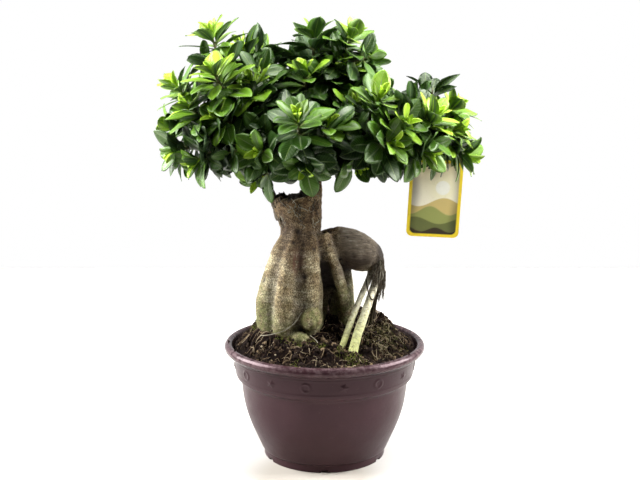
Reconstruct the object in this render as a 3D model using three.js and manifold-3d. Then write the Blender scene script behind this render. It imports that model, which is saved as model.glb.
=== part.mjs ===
// A ginseng ficus grown as a small tree, standing in the round moulded bowl it is sold in.
// Millimetres, +Z up. The origin is the centre of the pot's flat base, and the front faces -Y.
import * as THREE from "three";
import { mergeVertices } from "three/addons/utils/BufferGeometryUtils.js";
import Module from "manifold-3d";

const wasm = await Module();
wasm.setup();

// Clearance between neighbouring pieces
const GAP = 0.3;

// Pot: outside from the base up over the rolled lip, then inside down to the floor, as [radius, z]
const POT_OUTSIDE = [
  [67, 0], [67, 8], [69.5, 9.5], [74, 20], [82.5, 40], [88.3, 60], [92, 87], [97, 90.5],
  [100.5, 114], [108.5, 118], [110, 122.5], [107, 127], [102, 126.5], [100.5, 123],
];
const POT_INSIDE = [[94.5, 112], [90, 90], [85.3, 60], [79.3, 40], [70.8, 20], [63, 5]];
const POT_SIDES = 32;
const DRAIN_GROOVES = 6;
const GROOVE_WIDTH = 8;
const GROOVE_DEPTH = 2.2;
const GROOVE_START = 24;
const DRAIN_HOLE_RADIUS = 4;
const DRAIN_HOLE_RING = 46;
const DRAIN_HOLE_SIDES = 8;
const DRAIN_HOLE_DEPTH = 20;

// Soil: level at the wall, rising to a mound that is high on the left and behind, and low in front.
// The mound's slope is its rise per millimetre towards +X and towards +Y.
const SOIL_EDGE_RADIUS = 98.4;
const SOIL_EDGE_Z = 120;
const SOIL_RINGS = [90, 76, 60, 36];
const SOIL_SIDES = 28;
const MOUND_RISE = 26;
const MOUND_SLOPE = [-0.08, 0.2];
const MOUND_LIMIT = 28;
const MOUND_SHOULDER = 0.28;
const SOIL_RELIEF = 1.6;
const ROOT_FLOOR = 110;
const HOLE_FIRST_RING = 2;

// Wood: each limb is a list of [x, y, z, radius] points, made with a few sides and steps
const SWOLLEN_SIDES = 8;
const AERIAL_SIDES = 5;
const BURIED_STEPS = 4;
const SWOLLEN_ROOTS = {
  core: [[-24, 0, 250, 20.5], [-22, 0, 236, 20.5], [-22, 0, 214, 26], [-23, 0, 183, 31],
    [-25, 0, 143, 31], [-25, 0, 104, 27]],
  outer_left: [[-34, -4, 250, 10.5], [-42, -8, 226, 13], [-52, -10, 198, 15], [-58, -12, 170, 15.5],
    [-57, -14, 142, 15], [-54, -14, 104, 12]],
  front_left: [[-28, -12, 247, 10.5], [-35, -20, 220, 15], [-39, -26, 189, 18], [-40, -28, 162, 19],
    [-37, -26, 136, 17], [-34, -24, 104, 14]],
  front_right: [[-17, -12, 245, 10.5], [-16, -18, 217, 13], [-17, -22, 190, 14.5], [-17, -20, 165, 14],
    [-18, -18, 104, 12]],
  right_leg: [[-4, -8, 246, 8.5], [5, -10, 222, 9], [13, -8, 196, 9.7], [20, -4, 170, 9.8],
    [23, -2, 147, 9.8], [25, 0, 104, 9]],
  right_back: [[-1, 8, 245, 11], [12, 14, 218, 13], [17, 16, 188, 15], [19, 14, 163, 14.5],
    [22, 12, 140, 13], [24, 12, 104, 12]],
  back_left: [[-30, 6, 248, 10], [-41, 18, 222, 12.5], [-50, 24, 190, 15.5], [-52, 26, 160, 17],
    [-50, 24, 104, 14]],
  back_middle: [[-18, 14, 246, 10], [-18, 28, 217, 14], [-17, 36, 187, 17], [-16, 37, 157, 17.5],
    [-16, 33, 104, 14]],
};
const ARM = [[2, 4, 236, 14], [12, 7, 234, 18], [25, 8, 229.5, 20.5], [39, 6, 223, 20.5],
  [52, 3, 218, 16.5], [59, 1, 215.5, 11], [62.5, 0, 214, 5]];
const STUMP = [[-24, 0, 248, 21.5], [-27, 0, 268, 22.5], [-32, 0, 287, 25.5]];
const AERIAL_ROOTS = {
  slim: [[52, 2, 212, 3.8], [48, -3, 196, 3.6], [39, -15, 179, 3.5], [28, -32, 156, 3.6],
    [17, -54, 130, 3.8], [11, -64, 104, 3.8]],
  stout: [[57, -1, 210, 4], [54, -5, 190, 4.4], [45, -23, 168, 4.9], [35, -44, 146, 5.3],
    [27, -67, 123, 5.6], [22, -76, 104, 5.6]],
  thread: [[58, 1, 228, 2], [62, 1, 212, 1.8], [58, 4, 186, 1.7], [52, 8, 150, 1.6], [48, 9, 104, 1.6]],
};
const NODULES = [[-14, -36, 159, 11.5], [-26, -44, 139, 10.5]];
const STEM = [[-16, 0, 256, 12], [-12, 0, 276, 8.5], [-9, 0, 292, 6.8], [-8, 2, 306, 6.2], [-3, 5, 324, 6]];
const BOUGHS = {
  right: [[-3, 5, 322, 5.5], [27, 0, 337, 4.4], [63, -10, 347, 3.8], [99, -15, 355, 3.1],
    [123, -10, 368, 2.4]],
  top: [[-3, 5, 322, 5.5], [0, 10, 356, 4.4], [4, 10, 388, 3.4], [6, 5, 421, 2.4]],
  left: [[-3, 5, 322, 5], [-31, 0, 344, 4.3], [-66, -5, 365, 3.4], [-87, 0, 396, 2.8], [-98, 5, 425, 2.3]],
  low_left: [[-46, 0, 262, 6.5], [-55, -2, 284, 5], [-68, -6, 306, 4.2], [-90, -10, 328, 3.6],
    [-115, -15, 346, 3], [-135, -20, 366, 2.4]],
  front: [[-9, 0, 303, 4.5], [-13, -32, 326, 3.4], [-18, -62, 344, 2.6]],
  front_right: [[27, 0, 337, 3.8], [48, -45, 352, 3.2], [62, -75, 365, 2.5]],
  front_left: [[-31, 0, 344, 3.9], [-51, -45, 337, 3.3], [-69, -80, 340, 2.6]],
  back_right: [[-3, 5, 322, 4.5], [28, 50, 340, 3.5], [70, 95, 356, 2.9]],
  back_left: [[-3, 5, 322, 4.5], [-38, 55, 342, 3.5], [-80, 100, 367, 2.9]],
  back: [[0, 10, 356, 3.9], [-3, 60, 372, 3.4], [-7, 110, 390, 2.9]],
};
const TAG_TWIG = [[100, -15, 355, 2.4], [114, -4, 344, 2], [121.5, 7, 338.5, 1.8], [124, 21, 337, 1.6]];

// Leafy shoots: [tip x, tip y, tip z, elevation in degrees, leaves], each leaning away from the heart
const CROWN_HEART = [-12, 8];
const SHOOTS = [
  [-118, 6, 453, 74, 9], [-86, 26, 440, 60, 7], [-151, -20, 400, 54, 8], [-110, -58, 416, 58, 8],
  [-72, -42, 404, 58, 8], [-48, 4, 404, 62, 8], [-12, 10, 455, 80, 9], [27, 0, 451, 62, 9],
  [-20, -34, 414, 62, 7], [14, -14, 418, 62, 7], [-134, -50, 380, 34, 7], [-160, 0, 358, 16, 7],
  [-104, -64, 372, 24, 7], [-26, -108, 372, 52, 8], [2, -90, 366, 48, 7], [52, -68, 390, 56, 8],
  [86, -24, 376, 60, 8], [108, -60, 371, 50, 8], [134, 0, 378, 46, 9], [27, -50, 380, 52, 7],
  [75, -82, 366, 34, 8], [132, -32, 358, 24, 7], [62, -94, 350, 8, 7], [14, -66, 350, 18, 7],
  [-62, -90, 341, 0, 7], [-126, -66, 331, -26, 7], [-149, -38, 337, -20, 7], [-20, -102, 329, -28, 7],
  [98, -70, 339, -22, 7], [147, -18, 331, -22, 7], [30, -66, 328, -28, 7], [-64, -46, 312, -26, 7],
  [-124, 60, 400, 45, 7], [-78, 80, 428, 56, 7], [0, 84, 442, 64, 7], [42, 66, 424, 54, 7],
  [106, 56, 370, 46, 7], [-146, 50, 357, 8, 7], [-86, 122, 382, 22, 7], [-14, 138, 394, 30, 7],
  [66, 122, 368, 16, 7], [134, 72, 352, 8, 7], [-42, 112, 338, -22, 7], [34, 106, 336, -22, 7],
  [-106, 84, 338, -22, 7], [94, 88, 336, -20, 7],
];
const TWIG_LENGTH = 34;
const TWIG_RADIUS = 1.5;
const TWIG_TAPER = 0.35;
const TWIG_SIDES = 3;

// Sprigs join the shoots to the boughs. Each reaches back this far to look for its bough, and runs
// straight for this last stretch. Boughs carry none on the first sixth of their length.
const SPRIG_RADIUS = 1.9;
const SPRIG_TAPER = 0.25;
const SPRIG_REACH = 26;
const SPRIG_STRAIGHT = 12;
const BOUGH_SAMPLES = 60;
const BOUGH_BARE_SAMPLES = 10;

// Leaves: an elliptic blade, flat on top with a keel for the midrib, arched along its length.
// Stations are [share of the length, share of the half width]. Pairs go from the youngest leaf,
// at the tip, to the oldest, or from the least to the most of a random spread. Angles are radians.
const LEAF_LENGTH = 37;
const LEAF_WIDTH_RATIO = 0.5;
const LEAF_THICKNESS = 1.5;
const LEAF_STATIONS = [[0.34, 0.8], [0.6, 1], [0.84, 0.7]];
const LEAF_PITCH = [0.35, 1.45];
const LEAF_SAG = [0.05, 0.36];
const HANGING_SAG = 1.4;
const LEAF_PLACE = [1.5, TWIG_LENGTH - 4];
const LEAF_UPTURN = 0.45;
const LEAF_ROLL = 0.3;
const YOUNG_LENGTH = 0.66;
const LENGTH_SPREAD = [0.86, 1.14];
const WIDTH_SPREAD = [0.88, 1.1];
const LEAF_BEND = [0.15, 0.75];
const GOLDEN_ANGLE = 2.39996;

// A leaf tries several seeded poses. Its guard stands this far off other pieces, and leaves of one
// shoot may touch only on the first fifth of their length.
const LEAF_TRIES = 14;
const GUARD = 0.45;
const LEAF_FREE = 0.2;

// Care tag: a card with rounded corners and a narrow neck, hung on a twig
const TAG_WIDTH = 57;
const TAG_HEIGHT = 84;
const TAG_CORNER = 6;
const TAG_THICKNESS = 0.9;
const TAG_NECK_WIDTH = 14;
const TAG_NECK_HEIGHT = 20;
const TAG_HOLE_RADIUS = 4;
const TAG_ROLL = 3;
const TAG_HANG = [121.9, 8.5, 336.9];

const MATERIALS = {
  pot: new THREE.MeshStandardMaterial({ color: 0x4b3438, roughness: 0.45, metalness: 0 }),
  soil: new THREE.MeshStandardMaterial({ color: 0x2c211b, roughness: 0.95, metalness: 0 }),
  bark: new THREE.MeshStandardMaterial({ color: 0x8c7a5e, roughness: 0.85, metalness: 0 }),
  leaf: new THREE.MeshStandardMaterial({ color: 0x2f6b1e, roughness: 0.35, metalness: 0 }),
  card: new THREE.MeshStandardMaterial({ color: 0xd9b21c, roughness: 0.4, metalness: 0 }),
};

// Solids

function toSolid(geometry) {
  const bare = geometry.clone();
  bare.deleteAttribute("normal");
  bare.deleteAttribute("uv");
  const merged = mergeVertices(bare, 1e-4);
  const vertProperties = new Float32Array(merged.attributes.position.array);
  const triVerts = new Uint32Array(merged.index.array);
  return new wasm.Manifold(new wasm.Mesh({ numProp: 3, vertProperties, triVerts }));
}

function toMesh(name, solid, material) {
  const { vertProperties, triVerts } = solid.getMesh();
  const geometry = new THREE.BufferGeometry();
  geometry.setAttribute("position", new THREE.BufferAttribute(new Float32Array(vertProperties), 3));
  geometry.setIndex(new THREE.BufferAttribute(new Uint32Array(triVerts), 1));
  geometry.computeVertexNormals();
  const mesh = new THREE.Mesh(geometry, material);
  mesh.name = name;
  return mesh;
}

function union(solids) {
  return solids.reduce((whole, solid) => whole.add(solid));
}

// Everything above a level, as a block larger than the part
function above(level) {
  const size = 1000;
  return toSolid(new THREE.BoxGeometry(size, size, size).translate(0, 0, level + size / 2));
}

function curveThrough(points) {
  return new THREE.CatmullRomCurve3(
    points.map(([x, y, z]) => new THREE.Vector3(x, y, z)), false, "catmullrom", 0.5);
}

// A smooth tapered stem: a cylinder whose rings are carried along a curve through the points.
// With a first ring above 0 only its lower stretch is made.
function limb(points, sides, steps, grow = 0, firstRing = 0) {
  const path = curveThrough(points);
  const girth = new THREE.SplineCurve(points.map((point, i) => new THREE.Vector2(i, point[3])));
  const rings = [];
  const tangent = path.getTangent(0);
  const across = new THREE.Vector3(0, 1, 0.2).cross(tangent).normalize();
  const turn = new THREE.Quaternion();
  for (let i = 0; i <= steps; i += 1) {
    const share = i / steps;
    const next = path.getTangent(share);
    across.applyQuaternion(turn.setFromUnitVectors(tangent, next));
    tangent.copy(next);
    rings.push({
      centre: path.getPoint(share),
      radius: girth.getPoint(share).y + grow,
      across: across.clone(),
      aside: tangent.clone().cross(across),
    });
  }
  const kept = steps - firstRing;
  const geometry = new THREE.CylinderGeometry(1, 1, 1, sides, kept);
  const position = geometry.attributes.position;
  for (let i = 0; i < position.count; i += 1) {
    const ring = rings[firstRing + Math.round((0.5 - position.getY(i)) * kept)];
    const moved = ring.centre.clone()
      .addScaledVector(ring.across, position.getX(i) * ring.radius)
      .addScaledVector(ring.aside, position.getZ(i) * ring.radius);
    position.setXYZ(i, moved.x, moved.y, moved.z);
  }
  return toSolid(geometry);
}

// Pot

function makePot() {
  const profile = [[0, 0], ...POT_OUTSIDE, ...POT_INSIDE, [0, POT_INSIDE.at(-1)[1]]];
  let pot = toSolid(turned(profile, POT_SIDES));
  const reach = POT_OUTSIDE[0][0] + 4;
  for (let i = 0; i < DRAIN_GROOVES; i += 1) {
    const angle = (i + 0.5) * 2 * Math.PI / DRAIN_GROOVES;
    const groove = new THREE.BoxGeometry(reach - GROOVE_START, GROOVE_WIDTH, 2 * GROOVE_DEPTH);
    groove.translate((reach + GROOVE_START) / 2, 0, 0).rotateZ(angle);
    pot = pot.subtract(toSolid(groove));
    if (i % 2 === 0) {
      const hole = new THREE.CylinderGeometry(
        DRAIN_HOLE_RADIUS, DRAIN_HOLE_RADIUS, DRAIN_HOLE_DEPTH, DRAIN_HOLE_SIDES);
      hole.rotateX(Math.PI / 2).translate(DRAIN_HOLE_RING, 0, 0).rotateZ(angle);
      pot = pot.subtract(toSolid(hole));
    }
  }
  return pot;
}

// A lathe turned about +Z from an [radius, z] outline
function turned(profile, sides) {
  const outline = profile.map(([radius, z]) => new THREE.Vector2(radius, z));
  return new THREE.LatheGeometry(outline, sides).rotateX(Math.PI / 2);
}

// Soil

function soilHeight(x, y) {
  const inward = 1 - Math.hypot(x, y) / SOIL_EDGE_RADIUS;
  const shoulder = Math.min(1, Math.max(0, inward / MOUND_SHOULDER));
  const rise = Math.min(MOUND_LIMIT, MOUND_RISE + MOUND_SLOPE[0] * x + MOUND_SLOPE[1] * y);
  const lumps = Math.sin(0.21 * x + 1.3) * Math.cos(0.17 * y) + 0.6 * Math.sin(0.33 * y + 0.19 * x);
  return SOIL_EDGE_Z + shoulder * shoulder * (3 - 2 * shoulder) * rise + shoulder * SOIL_RELIEF * lumps;
}

function makeSoil() {
  const floor = POT_INSIDE.at(-1)[1] + GAP;
  const flat = Math.cos(Math.PI / POT_SIDES);
  const wall = POT_INSIDE.map(([radius, z]) => [radius * flat - GAP, Math.max(z, floor)])
    .filter((_, i) => i !== 2 && i !== 4).reverse();
  const top = [...SOIL_RINGS, 0].map((radius) => [radius, SOIL_EDGE_Z + 1]);
  const geometry = turned([[0, floor], ...wall, [SOIL_EDGE_RADIUS, SOIL_EDGE_Z], ...top], SOIL_SIDES);
  const position = geometry.attributes.position;
  for (let i = 0; i < position.count; i += 1) {
    if (position.getZ(i) > SOIL_EDGE_Z + 0.5) {
      position.setZ(i, soilHeight(position.getX(i), position.getY(i)));
    }
  }
  const holes = [
    ...buriedLimbs().map(([points, sides, steps]) => limb(points, sides, steps, GAP, HOLE_FIRST_RING)),
    ...NODULES.map((place) => nodule(place, GAP)),
  ];
  return toSolid(geometry).subtract(union(holes).intersect(above(ROOT_FLOOR - GAP)));
}

// Tree

function buriedLimbs() {
  return [
    ...Object.values(SWOLLEN_ROOTS).map((points) => [points, SWOLLEN_SIDES, BURIED_STEPS]),
    ...Object.values(AERIAL_ROOTS).map((points) => [points, AERIAL_SIDES, BURIED_STEPS]),
  ];
}

function nodule([x, y, z, radius], grow = 0) {
  return toSolid(new THREE.SphereGeometry(radius + grow, 7, 5).rotateX(Math.PI / 2).translate(x, y, z));
}

// The sprig that carries a shoot leaves the nearest point of a bough and ends square to the shoot
function sprig(shoot) {
  const behind = shoot.base.clone().addScaledVector(shoot.axis, -SPRIG_REACH);
  let nearest = null;
  for (const points of Object.values(BOUGHS)) {
    const path = curveThrough(points);
    for (let i = BOUGH_BARE_SAMPLES; i <= BOUGH_SAMPLES; i += 1) {
      const place = path.getPoint(i / BOUGH_SAMPLES);
      const distance = place.distanceTo(behind);
      if (nearest === null || distance < nearest.distance) {
        nearest = { place, distance };
      }
    }
  }
  const knee = shoot.base.clone().addScaledVector(shoot.axis, -SPRIG_STRAIGHT);
  const end = shoot.base.clone().addScaledVector(shoot.axis, -GAP);
  return [
    [...nearest.place.toArray(), SPRIG_RADIUS + SPRIG_TAPER],
    [...knee.toArray(), SPRIG_RADIUS],
    [...end.toArray(), SPRIG_RADIUS - SPRIG_TAPER],
  ];
}

function makeTree(shoots) {
  const pieces = [
    ...buriedLimbs().map(([points, sides, steps]) => limb(points, sides, steps)),
    limb(ARM, 8, 6),
    limb(STUMP, 10, 2),
    limb(STEM, 7, 4),
    ...Object.values(BOUGHS).map((points) => limb(points, 5, points.length - 1)),
    limb(TAG_TWIG, 5, 3),
    ...NODULES.map((place) => nodule(place)),
    ...shoots.map((shoot) => limb(sprig(shoot), TWIG_SIDES, 2)),
  ];
  return { pieces, whole: union(pieces).intersect(above(ROOT_FLOOR)) };
}

// Leafy shoots

// A repeatable stream of numbers from 0 to 1
function seededDraw(seed) {
  let state = 1 + (seed * 7919) % 2147483646;
  const draw = () => {
    state = (state * 48271) % 2147483647;
    return state / 2147483647;
  };
  draw();
  draw();
  return draw;
}

function mix(from, to, share) {
  return from + (to - from) * share;
}

function layOutShoots() {
  return SHOOTS.map(([x, y, z, elevation, leaves], i) => {
    const tip = new THREE.Vector3(x, y, z);
    const outward = new THREE.Vector3(x - CROWN_HEART[0], y - CROWN_HEART[1], 0).normalize();
    const lift = THREE.MathUtils.degToRad(elevation);
    const axis = outward.multiplyScalar(Math.cos(lift)).setZ(Math.sin(lift));
    const base = tip.clone().addScaledVector(axis, -TWIG_LENGTH);
    return { name: `shoot_${String(i + 1).padStart(2, "0")}`, number: i + 1, tip, axis, base, leaves };
  });
}

// The pose of one leaf of a shoot. Leaf 0 is the youngest, at the tip. Later attempts stray further.
function leafPose(shoot, leaf, attempt) {
  const draw = seededDraw(shoot.number * 1009 + leaf * 101 + attempt * 7);
  const age = leaf / (shoot.leaves - 1);
  const stray = 1 + attempt / 5;
  const across = new THREE.Vector3(0.31, 0.17, 1).cross(shoot.axis).normalize();
  const turn = leaf * GOLDEN_ANGLE + shoot.number + 0.5 * stray * (draw() - 0.5);
  const radial = across.applyAxisAngle(shoot.axis, turn);
  const pitch = mix(...LEAF_PITCH, Math.pow(age, 0.7)) + 0.3 * stray * (draw() - 0.5);
  const along = Math.cos(pitch);
  const outward = Math.sin(pitch);
  const direction = shoot.axis.clone().multiplyScalar(along).addScaledVector(radial, outward);
  direction.z -= mix(...LEAF_SAG, age) * draw() * (shoot.axis.z < 0 ? HANGING_SAG : 1);
  direction.normalize();
  const normal = shoot.axis.clone().multiplyScalar(outward).addScaledVector(radial, -along);
  normal.z += LEAF_UPTURN;
  normal.addScaledVector(radial, LEAF_ROLL * (draw() - 0.5));
  normal.addScaledVector(direction, -normal.dot(direction)).normalize();
  const length = LEAF_LENGTH * mix(YOUNG_LENGTH, 1, Math.min(1, 3 * age)) * mix(...LENGTH_SPREAD, draw());
  const width = length * LEAF_WIDTH_RATIO * mix(...WIDTH_SPREAD, draw());
  const bend = mix(...LEAF_BEND, draw());
  const place = shoot.tip.clone().addScaledVector(shoot.axis, -mix(...LEAF_PLACE, Math.pow(age, 1.25)));
  return { place, direction, normal, side: direction.clone().cross(normal), length, width, bend };
}

// A point of the blade: share 0 to 1 along its arched midrib, then sideways and lifted off it
function bladePoint(pose, share, sideways, lift) {
  const turn = pose.bend * share;
  const radius = pose.length / pose.bend;
  const normal = pose.normal.clone().multiplyScalar(Math.cos(turn))
    .addScaledVector(pose.direction, Math.sin(turn));
  return pose.place.clone()
    .addScaledVector(pose.direction, radius * Math.sin(turn))
    .addScaledVector(pose.normal, -radius * (1 - Math.cos(turn)))
    .addScaledVector(pose.side, sideways)
    .addScaledVector(normal, lift);
}

// A blade closed at its root and tip, with rings of left edge, right edge and keel under the midrib
function blade(pose, root, grow = 0) {
  const corners = [bladePoint(pose, root, 0, 0)];
  for (const [share, breadth] of LEAF_STATIONS.filter(([share]) => share > root)) {
    const halfWidth = breadth * pose.width / 2 + grow;
    corners.push(bladePoint(pose, share, -halfWidth, grow));
    corners.push(bladePoint(pose, share, halfWidth, grow));
    corners.push(bladePoint(pose, share, 0, -LEAF_THICKNESS - grow));
  }
  corners.push(bladePoint(pose, 1 + grow / pose.length, 0, 0));
  const faces = [];
  const last = corners.length - 1;
  for (let i = 0; i < 3; i += 1) {
    const j = (i + 1) % 3;
    faces.push(0, 1 + j, 1 + i);
    faces.push(last, last - 3 + i, last - 3 + j);
    for (let ring = 1; ring < last - 3; ring += 3) {
      faces.push(ring + i, ring + 3 + j, ring + 3 + i, ring + i, ring + j, ring + 3 + j);
    }
  }
  const geometry = new THREE.BufferGeometry().setFromPoints(corners).setIndex(faces);
  return { solid: toSolid(geometry), box: new THREE.Box3().setFromPoints(corners) };
}

function meets(piece, others) {
  return others.some((other) => {
    return other.box.intersectsBox(piece.box) && !other.solid.intersect(piece.solid).isEmpty();
  });
}

function boxed(solid) {
  const { min, max } = solid.boundingBox();
  return { solid, box: new THREE.Box3(new THREE.Vector3(...min), new THREE.Vector3(...max)) };
}

function twig(shoot, grow = 0) {
  const middle = shoot.base.clone().lerp(shoot.tip, 0.5).toArray();
  return limb([
    [...shoot.base.toArray(), TWIG_RADIUS + TWIG_TAPER],
    [...middle, TWIG_RADIUS],
    [...shoot.tip.toArray(), TWIG_RADIUS - TWIG_TAPER],
  ], TWIG_SIDES, 1, grow);
}

// Every leaf takes the first of its poses that keeps clear of the other pieces
function growShoots(shoots, obstacles) {
  const twigs = shoots.map((shoot) => boxed(twig(shoot, GUARD)));
  const placed = shoots.map(() => []);
  const solids = shoots.map((shoot) => twig(shoot));
  shoots.forEach((shoot, i) => {
    const others = [...obstacles, ...twigs.filter((_, k) => k !== i)];
    const own = [];
    for (let leaf = 0; leaf < shoot.leaves; leaf += 1) {
      for (let attempt = 0; attempt < LEAF_TRIES; attempt += 1) {
        const pose = leafPose(shoot, leaf, attempt);
        const guard = blade(pose, 0, GUARD);
        const outer = blade(pose, LEAF_FREE, GUARD);
        const crossing = meets(guard, others) || meets(guard, placed.flat()) || meets(outer, own);
        if (!crossing) {
          const leafBlade = blade(pose, 0);
          own.push(leafBlade);
          solids[i] = solids[i].add(leafBlade.solid);
          break;
        }
      }
    }
    placed[i].push(...own);
  });
  return solids;
}

// Care tag

function makeTag() {
  const outline = new THREE.Shape();
  const half = TAG_WIDTH / 2;
  const neck = TAG_NECK_WIDTH / 2;
  const top = TAG_HEIGHT;
  outline.moveTo(-half + TAG_CORNER, 0);
  outline.lineTo(half - TAG_CORNER, 0);
  outline.absarc(half - TAG_CORNER, TAG_CORNER, TAG_CORNER, -Math.PI / 2, 0);
  outline.absarc(half - TAG_CORNER, top - TAG_CORNER, TAG_CORNER, 0, Math.PI / 2);
  outline.lineTo(neck, top);
  outline.absarc(0, top + TAG_NECK_HEIGHT - neck, neck, 0, Math.PI);
  outline.lineTo(-neck, top);
  outline.absarc(-half + TAG_CORNER, top - TAG_CORNER, TAG_CORNER, Math.PI / 2, Math.PI);
  outline.absarc(-half + TAG_CORNER, TAG_CORNER, TAG_CORNER, Math.PI, 1.5 * Math.PI);
  const hole = new THREE.Path();
  hole.absarc(0, top + TAG_NECK_HEIGHT - neck, TAG_HOLE_RADIUS, 0, 2 * Math.PI, true);
  outline.holes.push(hole);
  const card = new THREE.ExtrudeGeometry(
    outline, { depth: TAG_THICKNESS, bevelEnabled: false, curveSegments: 3 });
  card.translate(0, -(top + TAG_NECK_HEIGHT - neck), -TAG_THICKNESS / 2);
  card.rotateX(Math.PI / 2).rotateY(THREE.MathUtils.degToRad(TAG_ROLL)).translate(...TAG_HANG);
  return toSolid(card);
}

// Assembly

const group = new THREE.Group();
const shoots = layOutShoots();
const tree = makeTree(shoots);
const tag = makeTag();
group.add(toMesh("pot", makePot(), MATERIALS.pot));
group.add(toMesh("soil", makeSoil(), MATERIALS.soil));
group.add(toMesh("tree", tree.whole, MATERIALS.bark));
group.add(toMesh("care_tag", tag, MATERIALS.card));
const obstacles = [...tree.pieces, tag].map(boxed);
growShoots(shoots, obstacles).forEach((solid, i) => {
  group.add(toMesh(shoots[i].name, solid, MATERIALS.leaf));
});

export default group;
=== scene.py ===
# %% [markdown]
# # A ginseng ficus in its moulded bowl
#
# The plant is a *Ficus microcarpa* sold as a small tree: a swollen trunk of fused storage roots, a
# sawn stump, thin boughs grafted on above it, and a wide crown of glossy leaves. It stands in a
# round purplish-brown plastic bowl, and a care tag hangs from a twig. The CAD frame gives every
# piece its place and its size. This script grows the finer pieces on that frame: the skin of the
# wood, the soil's litter, the leaves with their veins, and the finish of each material.
#
# The plant's lengths are millimetres in the row frame, and each mesh is scaled to metres when it is
# made. The camera and the studio are in metres.

# %% Load the frame
import itertools

import bpy
import numpy as np
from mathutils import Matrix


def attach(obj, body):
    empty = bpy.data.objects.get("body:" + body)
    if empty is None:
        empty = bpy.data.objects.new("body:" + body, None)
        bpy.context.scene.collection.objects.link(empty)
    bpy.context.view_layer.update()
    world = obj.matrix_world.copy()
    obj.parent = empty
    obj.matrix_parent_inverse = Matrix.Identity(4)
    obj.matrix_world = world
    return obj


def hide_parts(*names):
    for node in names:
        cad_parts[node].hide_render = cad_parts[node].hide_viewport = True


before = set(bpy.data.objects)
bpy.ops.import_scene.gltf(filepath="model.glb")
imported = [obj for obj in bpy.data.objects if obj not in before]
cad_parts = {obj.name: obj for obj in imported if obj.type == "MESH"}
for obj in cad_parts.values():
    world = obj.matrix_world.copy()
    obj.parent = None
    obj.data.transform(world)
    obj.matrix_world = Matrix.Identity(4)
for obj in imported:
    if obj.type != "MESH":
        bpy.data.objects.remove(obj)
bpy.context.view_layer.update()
MM = 0.001
print("CAD nodes:", len(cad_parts))

# %% [markdown]
# ## Camera
#
# The photograph is a product shot taken from a little above the rim. A camera could be placed by eye,
# but the ellipses of the pot's lip and foot fix it better: how flat they look gives the pitch, about
# ten degrees down, and how wide they look goes with a lens of some 56 mm on a 36 mm sensor.

# %% Camera
CAMERA_PITCH = 10.1


def into_scene(name, data):
    """An object that shows this mesh, light or camera."""
    obj = bpy.data.objects.new(name, data)
    bpy.context.scene.collection.objects.link(obj)
    return obj


camera = into_scene("camera", bpy.data.cameras.new("camera"))
camera.data.sensor_width = 36
camera.data.lens = 56.25
camera.location = (-0.00495, -1.06308, 0.42745)
camera.rotation_euler = (np.radians(90 - CAMERA_PITCH), 0, 0)
bpy.context.scene.camera = camera
print("camera at", [round(x, 3) for x in camera.location])

# %% [markdown]
# ## Numbers
#
# Bark, soil and leaves are uneven everywhere, yet each run has to grow the same plant. Blender's
# displace modifier could move the vertices, but several kinds of unevenness are mixed, limited and
# masked here. So this cell writes its own: soft steps, noise from a seeded table, and the smooth
# curve that a limb follows through the CAD's points.

# %% Numbers
def smoothstep(low, high, value):
    share = np.clip((value - low) / (high - low), 0, 1)
    return share * share * (3 - 2 * share)


def mix(low, high, share):
    return low + (high - low) * share


def unit(vector):
    return vector / np.linalg.norm(vector, axis=-1, keepdims=True)


def noise(points, size, seed):
    """Smooth noise from -1 to 1 in space. Its bumps are about size across, in all or each axis."""
    table = np.random.default_rng(seed).uniform(-1, 1, (24, 24, 24))
    place = np.asarray(points, float) / size
    cell = np.floor(place).astype(int)
    share = place - cell
    share = share * share * (3 - 2 * share)
    total = np.zeros(len(place))
    for corner in itertools.product((0, 1), repeat=3):
        weight = np.prod(np.where(corner, share, 1 - share), axis=1)
        i, j, k = ((cell + corner) % 24).T
        total += weight * table[i, j, k]
    return total


def curve(points, steps):
    """Places and radii along a smooth curve through [x, y, z, radius] points."""
    points = np.array(points, float)
    last = len(points) - 1
    ends = np.vstack([2 * points[0] - points[1], points, 2 * points[-1] - points[-2]])
    ends[0, 3], ends[-1, 3] = points[0, 3], points[-1, 3]
    along = np.linspace(0, last, steps + 1)
    i = np.minimum(along.astype(int), last - 1)
    w = (along - i)[:, None]
    a, b, c, d = ends[i], ends[i + 1], ends[i + 2], ends[i + 3]
    slope_b, slope_c = (c - a) / 2, (d - b) / 2
    line = ((2 * w**3 - 3 * w**2 + 1) * b + (w**3 - 2 * w**2 + w) * slope_b
            + (3 * w**2 - 2 * w**3) * c + (w**3 - w**2) * slope_c)
    return line[:, :3], line[:, 3]


# %% [markdown]
# ## Mesh
#
# Every part of the plant, from a root to a fibre or a leaf, is a closed skin over rings of points.
# Bevelled curves could make the tubes, but their vertices can't carry a number such as a leaf's age.
# So the rings are laid out as arrays, which is fast too. A pile then joins thousands of small closed
# shapes into one piece, and keeps the numbers on its vertices, where the materials read them.

# %% Mesh
def closed_shell(rings, first, last):
    """Skins rings of points, anticlockwise seen from the last, and draws each end to a point."""
    count, sides = rings.shape[:2]
    i, j = np.meshgrid(np.arange(count - 1), np.arange(sides), indexing="ij")
    a, b = i * sides + j, i * sides + (j + 1) % sides
    quads = np.stack([a, b, b + sides, a + sides], -1).reshape(-1, 4)
    here = np.arange(sides)
    after = (here + 1) % sides
    end = (count - 1) * sides
    tip = np.full(sides, count * sides)
    caps = np.vstack([np.stack([tip, after, here], -1), np.stack([tip + 1, end + here, end + after], -1)])
    return np.vstack([rings.reshape(-1, 3), first, last]), [quads, caps]


def frames(line):
    """Two directions square to a line at each of its points, carried along without twisting."""
    tangents = unit(np.gradient(line, axis=0))
    across = np.cross((0, 1, 0.2), tangents[0])
    rows = []
    for tangent in tangents:
        across = unit(across - tangent * np.dot(across, tangent))
        rows.append(across)
    return np.array(rows), np.cross(tangents, rows)


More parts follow.
